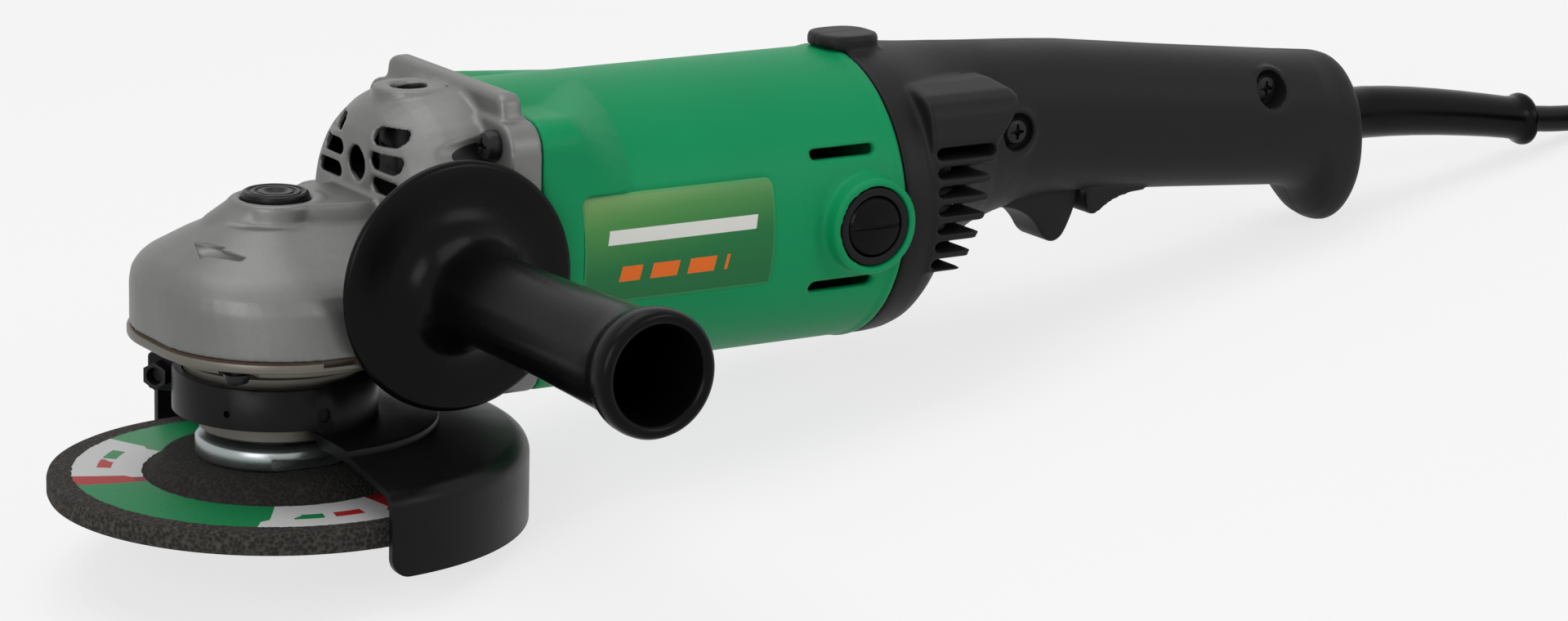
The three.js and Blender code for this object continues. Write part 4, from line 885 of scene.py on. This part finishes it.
def make_brush_fittings(side):
    """Black holder ring and the slotted, domed cap of one carbon brush."""
    at = (165, 0, 0)
    hand = "left" if side > 0 else "right"
    holder = ring(11.2, 8.9, 36.4, 47.4, "y", at)
    sleeve = common(ring(8.6, 6.9, 15.5, 37, "y", at, 48), block(150, 180, 0, 60, -20, 20))
    holder = bevelled(weld(holder, sleeve), 0.35, 2, 40)
    cap = turned([(0, 42.2), (8.5, 42.2), (8.5, 47), (8.0, 47.6), (5.5, 48.15), (0, 48.4)], "y", at)
    cap = bevelled(cut(cap, block(156.8, 173.2, 47.2, 60, -0.55, 0.55)), 0.2, 2, 40)
    if side < 0:
        holder, cap = [turned_over(piece) for piece in (holder, cap)]
    finish_piece(holder, f"brush_ring_{hand}", "housing", DARK, [f"brush_holder_{hand}"])
    finish_piece(cap, f"brush_screw_cap_{hand}", "housing", GLOSSY, [f"brush_cap_{hand}"])


def turned_over(piece):
    """The piece itself, moved to the other side of the tool."""
    hold(piece)
    piece.scale.y = -1
    bpy.ops.object.transform_apply(location=False, rotation=False, scale=True)
    bpy.ops.object.mode_set(mode="EDIT")
    return tidy_up()


# ---- Rear handle ----
BELL = [(179.3, 42.4, 42.4, -42.4), (183, 42.8, 42.8, -42.6), (188, 42.8, 42.8, -42.2), (191.5, 42, 42.6,
                                                                                         -41.2),
        (194.5, 40.4, 42.4, -38.8), (197.5, 38.2, 42.2, -35.6), (201, 35.4, 41.9, -31.6), (205, 32.4, 41.6,
                                                                                           -27.2),
        (210, 29.4, 41.3, -22.6), (216, 26.8, 41, -18.4), (223, 24.6, 40.5, -15), (231, 23, 40, -12.6),
        (238, 21.8, 39.4, -11)]
GRIP = [(218, 24, 39.6, -15), (228, 23, 39.9, -12), (236, 22, 39.5, -9.6), (243, 21.4, 39.1, -8.8),
        (252, 20.9, 38.5, -8.4), (262, 20.5, 37.7, -8.4), (280, 20.2, 35.5, -9.2), (300, 20, 33, -10.6),
        (320, 20, 30.7, -12.2), (340, 20, 28.4, -13.8), (346, 19.9, 27.7, -14.6), (349.5, 19.7, 27.4, -16),
        (351.5, 19.5, 27.2, -18.8), (353.5, 19.3, 27, -22), (356, 19, 26.8, -25), (359.5, 18.6, 26.4, -27),
        (362, 18.3, 25.6, -27.3), (364, 17.9, 24, -26.4), (365.6, 17.3, 21.6, -24.4), (366.8, 16.5, 18.6,
                                                                                       -21.8),
        (367.5, 15.4, 15.4, -18.8)]


def inner(stations, wall, first, last):
    rows = [(x, w - wall, top - wall, bottom + wall) for x, w, top, bottom in stations]
    rows[0] = (rows[0][0] + first, *rows[0][1:])
    x, w, top, bottom = rows[-1]
    rows[-1] = (x + last, w - 2, top - 2, bottom + 2)
    return rows


def vent_pockets():
    """Seven louvre slots down each side of the bell. The lower ones run out over its edge."""
    slots = []
    for k in range(7):
        slots.append(prism(slot_outline(189.6, (210.2, 212, 210.6, 209, 207, 205, 203)[k], 17.1 - 5.4 * k,
                                        3.1), "y", -60, 60))
    return slots


def make_rear_handle():
    round_ = circle(1, steps=96)
    squarish = circle(1, steps=64, power=2 / 2.3)
    # The vents sit in a raised block on each side, boxy above and rounded like the bell below.
    block_edge = [(188.4, 35), (188.4, -18.2), (200.4, -18.2), (201.6, -15), (203.4, -9), (205.2, -4), (207,
                                                                                                        2), (208.4, 8),
                  (211.6, 19), (216.8, 25), (219.6, 29), (220.4, 31.6), (218, 35)]
    block_side = [(-18, 35.2), (-25.4, 34.9), (-34.6, 33), (-38, 31), (-39.8, 28), (-41, 22), (-42, 16),
                  (-43, 9), (-43.6, 0),
                  (-43.2, -5), (-42.2, -10), (-40.6, -15.4), (-39.2, -18.2), (-18, -18.2)]
    side_pads = [common(prism([(y * side, z) for y, z in block_side][::side], "x", 180, 230),
                        prism(block_edge, "y", -60, 60)) for side in (1, -1)]
    side_pads = [bevelled(pad, 1.4, 3, 40) for pad in side_pads]
    tab = bevelled(prism([(x, y) for x, y in rounded(173.5, 193, -9.2, 9.2, 7.5)], "z", 40, 46.6), 1.2, 3, 40)
    bump = prism(softened([(266, -4), (266, -11), (266.6, -14), (269, -14.8), (271.8, -13.4), (275, -11.2),
                           (281, -9.4),
                           (290, -8.8), (290, -4)]), "y", -10.5, 10.5)
    body = weld(loft(round_, BELL), loft(squarish, GRIP), *side_pads, bump)
    bell_room = loft(round_, inner(BELL, 3, -1, 0))
    grip_room = loft(squarish, inner(GRIP, 3, 0, -3))
    slot = block(226.5, 266.2, -8.3, 8.3, -13, 0)
    tools = [bell_room, grip_room, slot, rod(8.5, 360, 390, "x", (0, 0, 5), 48), *vent_pockets()]
    # The tab laps over the barrel's end and is only on the handle's own side of the joint.
    body = weld(cut(body, *tools), tab)
    body = cut(body, rod(42.9, 150, 179.25, "x", sides=128))
    bosses = [(231, 16.5, 22), (329.5, 19.5, 14)]
    for x, z, seat in bosses:
        body = weld(body, rod(7, -seat - 1, seat + 1, "y", (x, 0, z), 48))
    for x, z, seat in bosses:
        body = cut(body, rod(2.0, -60, seat - 4, "y", (x, 0, z), 32), rod(5.6, -60, -seat + 2.4, "y",
                                                                          (x, 0, z), 48))
    body = moulded(body, 0.8, 4)
    for side, hand in ((1, "left"), (-1, "right")):
        half = copied(body)
        hold(half)
        bpy.ops.object.mode_set(mode="EDIT")
        bpy.ops.mesh.select_all(action="SELECT")
        bpy.ops.mesh.bisect(plane_co=(0, side * 0.12, 0), plane_no=(0, side, 0), use_fill=True,
                            clear_inner=True, clear_outer=False)
        bpy.ops.object.mode_set(mode="OBJECT")
        finish_piece(half, f"rear_handle_shell_{hand}", "housing", NYLON,
                     [f"rear_handle_{hand}"], smooth=50)
    bpy.data.objects.remove(body)


def make_baffle():
    """Thin sleeve inside the bell that leads the cooling air past the brush gear."""
    sleeve = ring(27.6, 26.4, 184, 205, "x", steps=72)
    return finish_piece(sleeve, "bell_air_sleeve", "housing", DARK)


def make_trigger():
    """Trigger with a swept finger hook, hollowed round its pin and spring."""
    side = [(228, -4), (232, -2.4), (261, -3.4), (264.8, -4.6), (265, -9), (263.6, -13.6), (261.6, -18),
            (259.4, -21.6),
            (255.8, -22.8), (252.6, -20.6), (250.4, -16.8), (247, -13.4), (242, -11), (236, -9.8), (230,
                                                                                                    -9.6), (227.6, -8)]
    body = bevelled(prism(softened(side, 3), "y", -7.6, 7.6), 1.2, 4, 60)
    body = cut(body, rod(1.9, -20, 20, "y", (233, 0, -6), 32), block(229.4, 237.4, -3.4, 3.4, -12.5, 2))
    return finish_piece(body, "trigger_lever", "trigger", NYLON, ["trigger"], smooth=40)


def make_handle_screws():
    for k, (x, z, seat) in enumerate(((231, 16.5, 22), (329.5, 19.5, 14)), 1):
        model = cross_screw(4.1, 2.6, 1.7, 2 * seat - 10.5)
        screw_in(model, (x, -seat + 2.1, z), "-y", f"handle_cross_screw_{k}", "housing",
                 f"handle_screw_{k}")
        bpy.data.objects.remove(model)


# ---- Side handle ----
def make_side_handle():
    """Screw-in handle: hand-guard disc, cone, tapering grip, and a bead round its hollow end."""
    seat = -43.2
    profile = [(5.2, 0), (33.4, 0), (34.2, 0.3), (34.6, 1.1), (34.5, 1.9), (34, 2.6), (33, 3), (28, 3.3),
               (23, 3.9),
               (19.4, 5), (16.6, 7), (14.6, 9.8), (13.5, 13), (13.05, 17), (13, 24), (13, 40), (13.3, 55),
               (13.9, 75),
               (14.4, 88), (14.7, 94), (15.3, 96.8), (16.3, 98.8), (16.9, 100.8), (17.05, 103), (16.9, 105),
               (16.2, 106.5),
               (15.2, 107), (13.9, 106.8), (13.1, 106), (12.8, 104.4), (12.4, 101), (11.4, 70), (10.6, 44),
               (10, 42.6),
               (5.2, 38), (5.2, 0)]
    body = turned([(r, seat - d) for r, d in profile], "y", (32.4, 0, -3.3), 128)
    return finish_piece(body, "side_handle_grip", "housing", GLOSSY, ["side_handle"],
                        smooth=50)


# ---- Guard ----
GUARD_FROM, GUARD_TO = -90.5, 93


def sector(reach, start, end, z0, z1, steps=12):
    points = [(0, 0)] + [(reach * math.cos(math.radians(start + (end - start) * k / steps)),
                          reach * math.sin(math.radians(start + (end - start) * k / steps)))
                         for k in range(steps + 1)]
    return prism(points, "z", z0, z1)


def make_guard():
    """Pressed half-round guard with a rolled shoulder, welded base plate and split clamp band."""
    top, rim, outside, wall, roll, fall = -46.8, -74, 70, 2, 5.5, 3.4
    bends = [(outside - roll, top - fall - roll, roll, range(90, -1, -10)),
             (outside - roll, top - fall - roll, roll - wall, range(0, 91, 10))]
    outer, under = [[(r + size * math.cos(math.radians(a)),
                      z + size * math.sin(math.radians(a))) for a in steps]
                    for r, z, size, steps in bends]
    profile = [(25.3, top), (44.5, top)] + outer + [(outside, rim), (outside - wall, rim)] + under
    hood = turned(profile + [(44.5, top - wall), (25.3, top - wall), (25.3, top)], steps=180)
    hood = cut(hood, sector(130, GUARD_TO, 360 + GUARD_FROM, -80, -40, 24))
    for angle, way in ((GUARD_FROM, 1), (GUARD_TO, -1)):
        low, high = sorted((-way, way * roll))
        corner = cut(block(60, 80, low, high, rim - 1, rim + roll), rod(roll, 55, 85, "x",
                                                                        (0, way * roll, rim + roll)))
        hood = cut(hood, turned_by(corner, angle, "z"))
    base = turned([(25.3, top - 0.2), (25.3, top + 2), (43.9, top + 2), (44.7, top + 1.6), (45, top + 0.8),
                   (45, top - 0.2),
                   (25.3, top - 0.2)], steps=144)
    base = cut(base, sector(130, GUARD_TO, 358.7 + GUARD_FROM, -52, -40, 24))
    band = turned([(28.3, -48.8), (28.3, -32.2), (27.8, -31.6), (25.8, -31.6), (25.3, -32.1), (25.3, -48.8),
                   (28.3, -48.8)], steps=144)
    band = cut(band, sector(130, GUARD_TO, 360 + GUARD_FROM, -50, -43.2, 24))
    ears = bevelled(block(27.3, 38.3, -3.85, 3.85, -42.6, -32.1), 1.2, 3, 40)
    ears = turned_by(ears, 125, "z")
    split = turned_by(block(0, 40, -1.25, 1.25, -50, -30), 125, "z")
    hole = turned_by(rod(2.5, -20, 20, "y", (33.7, 0, -37.6), 32), 125, "z")
    dimples = [turned_by(rod(1.0, 26.6, 30, "x", (0, 0, -39), 24), 216, "z"),
               turned_by(rod(2.0, 27.4, 30, "x", (0, 0, -39.5), 32), 271, "z")]
    body = cut(weld(hood, base, band, ears), split, hole, *dimples)
    body = bevelled(body, 0.35, 2, 50)
    return finish_piece(body, "wheel_guard_hood", "guard", GUARD_PAINT, ["wheel_guard"],
                        smooth=40)


def make_guard_clamp():
    screw = cross_screw(3.6, 3.0, 2.2, 8.6)
    screw = turned_by(screw, 90, "x")
    hold(screw)
    screw.location = (33.7, -4.2, -37.6)
    bpy.ops.object.transform_apply(location=True)
    finish_piece(turned_by(screw, 125, "z"), "guard_clamp_cross_screw", "guard", BLACKED,
                 ["guard_clamp_screw"])
    nut = rod(4, 4.15, 7.55, "y", (33.7, 0, -37.6), 6)
    nut = bevelled(cut(nut, rod(2.45, 0, 20, "y", (33.7, 0, -37.6), 32)), 0.35, 2, 40)
    finish_piece(turned_by(nut, 125, "z"), "guard_clamp_hex_nut", "guard", BLACKED,
                 ["guard_clamp_nut"])


# ---- Wheel and its fittings ----
def make_spindle_end():
    washer = turned([(7.3, -50.2), (20.4, -50.2), (21.4, -50.6), (22, -51.4), (22, -55.4), (21.5, -56.1),
                     (20.6, -56.4),
                     (10.8, -56.4), (10.8, -59.3), (7.3, -59.3), (7.3, -50.2)], steps=128)
    flats = [block(-30, 30, 19.2, 30, -60, -53.2), block(-30, 30, -30, -19.2, -60, -53.2)]
    washer = bevelled(cut(washer, *flats), 0.15, 2, 40)
    finish_piece(washer, "inner_wheel_washer", "spindle", ZINC, ["wheel_washer"], smooth=40)
    nut = ring(17, 7.3, -68.4, -63.4, steps=128)
    pins = [rod(2.2, -69.4, -65.4, "z", (12 * math.cos(math.radians(a)), 12 * math.sin(math.radians(a)), 0),
                32)
            for a in (0, 90, 180, 270)]
    nut = bevelled(cut(nut, *pins), 0.5, 3, 40)
    finish_piece(nut, "outer_wheel_nut", "spindle", ZINC, ["wheel_nut"], smooth=40)


def make_wheel():
    """Depressed-centre wheel with a crumbly rim and a paper ring on its front."""
    profile = [(11.1, -56.7), (30, -56.7), (31.2, -57.2), (34.5, -60.8), (35.7, -61.5), (61.2, -61.5), (62.2,
                                                                                                        -62),
               (62.5, -63), (62.5, -66.6), (62.1, -67.5), (61, -67.9), (34.6, -67.9), (33.6, -67.3), (30.6,
                                                                                                      -63.6),
               (29.8, -63.1), (11.1, -63.1), (11.1, -56.7)]
    wheel = turned(profile, steps=240)
    return finish_piece(wheel, "depressed_centre_wheel", "spindle", ABRASIVE,
                        ["grinding_wheel"], smooth=35)


# ---- Cord guard ----
def make_cord_guard():
    """Tapered rubber sleeve that droops a little and ends in a bead."""
    start, end, wall = 361, 447, 378
    rows = [(361, 10.2), (365, 10.2), (365.3, 8.4), (380, 8.2), (390, 8.0), (400, 7.75), (410, 7.5), (420,
                                                                                                      7.25), (430, 7.0),
            (438, 6.85), (441.5, 6.95), (443.2, 7.5), (444.2, 8.1), (445.2, 8.4), (446.2, 8.3), (447, 7.4)]

    def droop(x):
        return 5 - 8.4 * (max(0, x - wall) / (end - wall)) ** 1.5

    body = loft(circle(1, steps=64), [(x, r, droop(x) + r, droop(x) - r) for x, r in rows])
    body = bevelled(body, 0.3, 2, 50)
    return finish_piece(body, "cord_guard_sleeve", "housing", GLOSSY, ["cord_guard"],
                        smooth=50)


make_gear_housing()
make_gasket()
make_retainer()
make_housing_screws()
make_lock_button()
make_motor_housing()
make_rear_spider()
make_label()
for hand in (1, -1):
    make_brush_fittings(hand)
make_rear_handle()
make_baffle()
make_trigger()
make_handle_screws()
make_side_handle()
make_guard()
make_guard_clamp()
make_spindle_end()
make_wheel()
make_cord_guard()

# ---- Finishes of the solids that stay as they are ----
INNER = {
    STEEL: ["spindle", "ring_gear", "pinion", "pinion_nut", "armature_shaft", "side_handle_stud",
            "trigger_pin",
            "trigger_spring", "lock_spring", "cord_clamp_screw_1", "cord_clamp_screw_2"],
    BEARING: ["spindle_lower_bearing", "spindle_upper_bearing", "armature_front_bearing",
              "armature_rear_bearing"],
    COPPER: ["armature_core", "commutator"],
    IRON: ["field_stator"],
    FAN_NYLON: ["cooling_fan", "fan_baffle"],
    DARK: ["switch_body", "cord_clamp"],
    CARBON: ["carbon_brush_left", "carbon_brush_right"],
}
for material, nodes in INNER.items():
    for node in nodes:
        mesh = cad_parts[node].data
        mesh.materials.clear()
        mesh.materials.append(material)


# ---- Studio ----
def studio():
    clear()
    bpy.ops.mesh.primitive_plane_add(size=12, location=(0, 0, -0.0002))
    floor = bpy.context.object
    floor.name = "studio_floor"
    f = Finish("studio floor")
    seen = f.node("LightPath", out="Is Camera Ray")
    for ray in ("Is Glossy Ray", "Is Transmission Ray"):
        seen = seen.sum("MAXIMUM", seen, f.node("LightPath", out=ray))
    lit = f.node("BsdfDiffuse", None, {"Color": (0.86, 0.86, 0.86, 1)})
    glow = f.node("Emission", None, {"Color": (1, 1, 1, 1), "Strength": 1})
    mix = f.node("MixShader", None, [seen * 0.72, lit, glow])
    f.node("OutputMaterial", None, {"Surface": mix})
    floor.data.materials.append(f.material)

    world = bpy.data.worlds.new("studio world")
    bpy.context.scene.world = world
    world.use_nodes = True
    tree = world.node_tree
    tree.nodes.clear()
    path = tree.nodes.new("ShaderNodeLightPath")
    seen = tree.nodes.new("ShaderNodeMath")
    seen.operation = "MAXIMUM"
    through = tree.nodes.new("ShaderNodeMath")
    through.operation = "MAXIMUM"
    tree.links.new(path.outputs["Is Camera Ray"], seen.inputs[0])
    tree.links.new(path.outputs["Is Glossy Ray"], through.inputs[0])
    tree.links.new(path.outputs["Is Transmission Ray"], through.inputs[1])
    tree.links.new(through.outputs[0], seen.inputs[1])
    level_ = tree.nodes.new("ShaderNodeMapRange")
    level_.inputs["To Min"].default_value = 0.38
    level_.inputs["To Max"].default_value = 1.0
    tree.links.new(seen.outputs[0], level_.inputs["Value"])
    sky = tree.nodes.new("ShaderNodeBackground")
    sky.inputs["Color"].default_value = (1, 1, 1, 1)
    out = tree.nodes.new("ShaderNodeOutputWorld")
    tree.links.new(level_.outputs[0], sky.inputs["Strength"])
    tree.links.new(sky.outputs[0], out.inputs["Surface"])

    def softbox(name, at, aim, size, power):
        bpy.ops.object.light_add(type="AREA", location=at)
        lamp = bpy.context.object
        lamp.name = name
        lamp.data.shape = "RECTANGLE"
        lamp.data.size, lamp.data.size_y = size
        lamp.data.energy = power
        lamp.rotation_euler = (Vector(aim) - Vector(at)).to_track_quat("-Z", "Y").to_euler()

    softbox("softbox_above", (-0.1, 0.25, 1.5), (0, 0, 0.08), (1.6, 0.9), 9)
    softbox("softbox_left", (-1.5, -0.9, 0.9), (-0.1, 0, 0.08), (0.9, 0.9), 10)
    softbox("softbox_right", (0.9, -1.5, 0.8), (0, 0, 0.08), (0.8, 0.6), 6)


studio()
bpy.context.scene.view_settings.view_transform = "Standard"
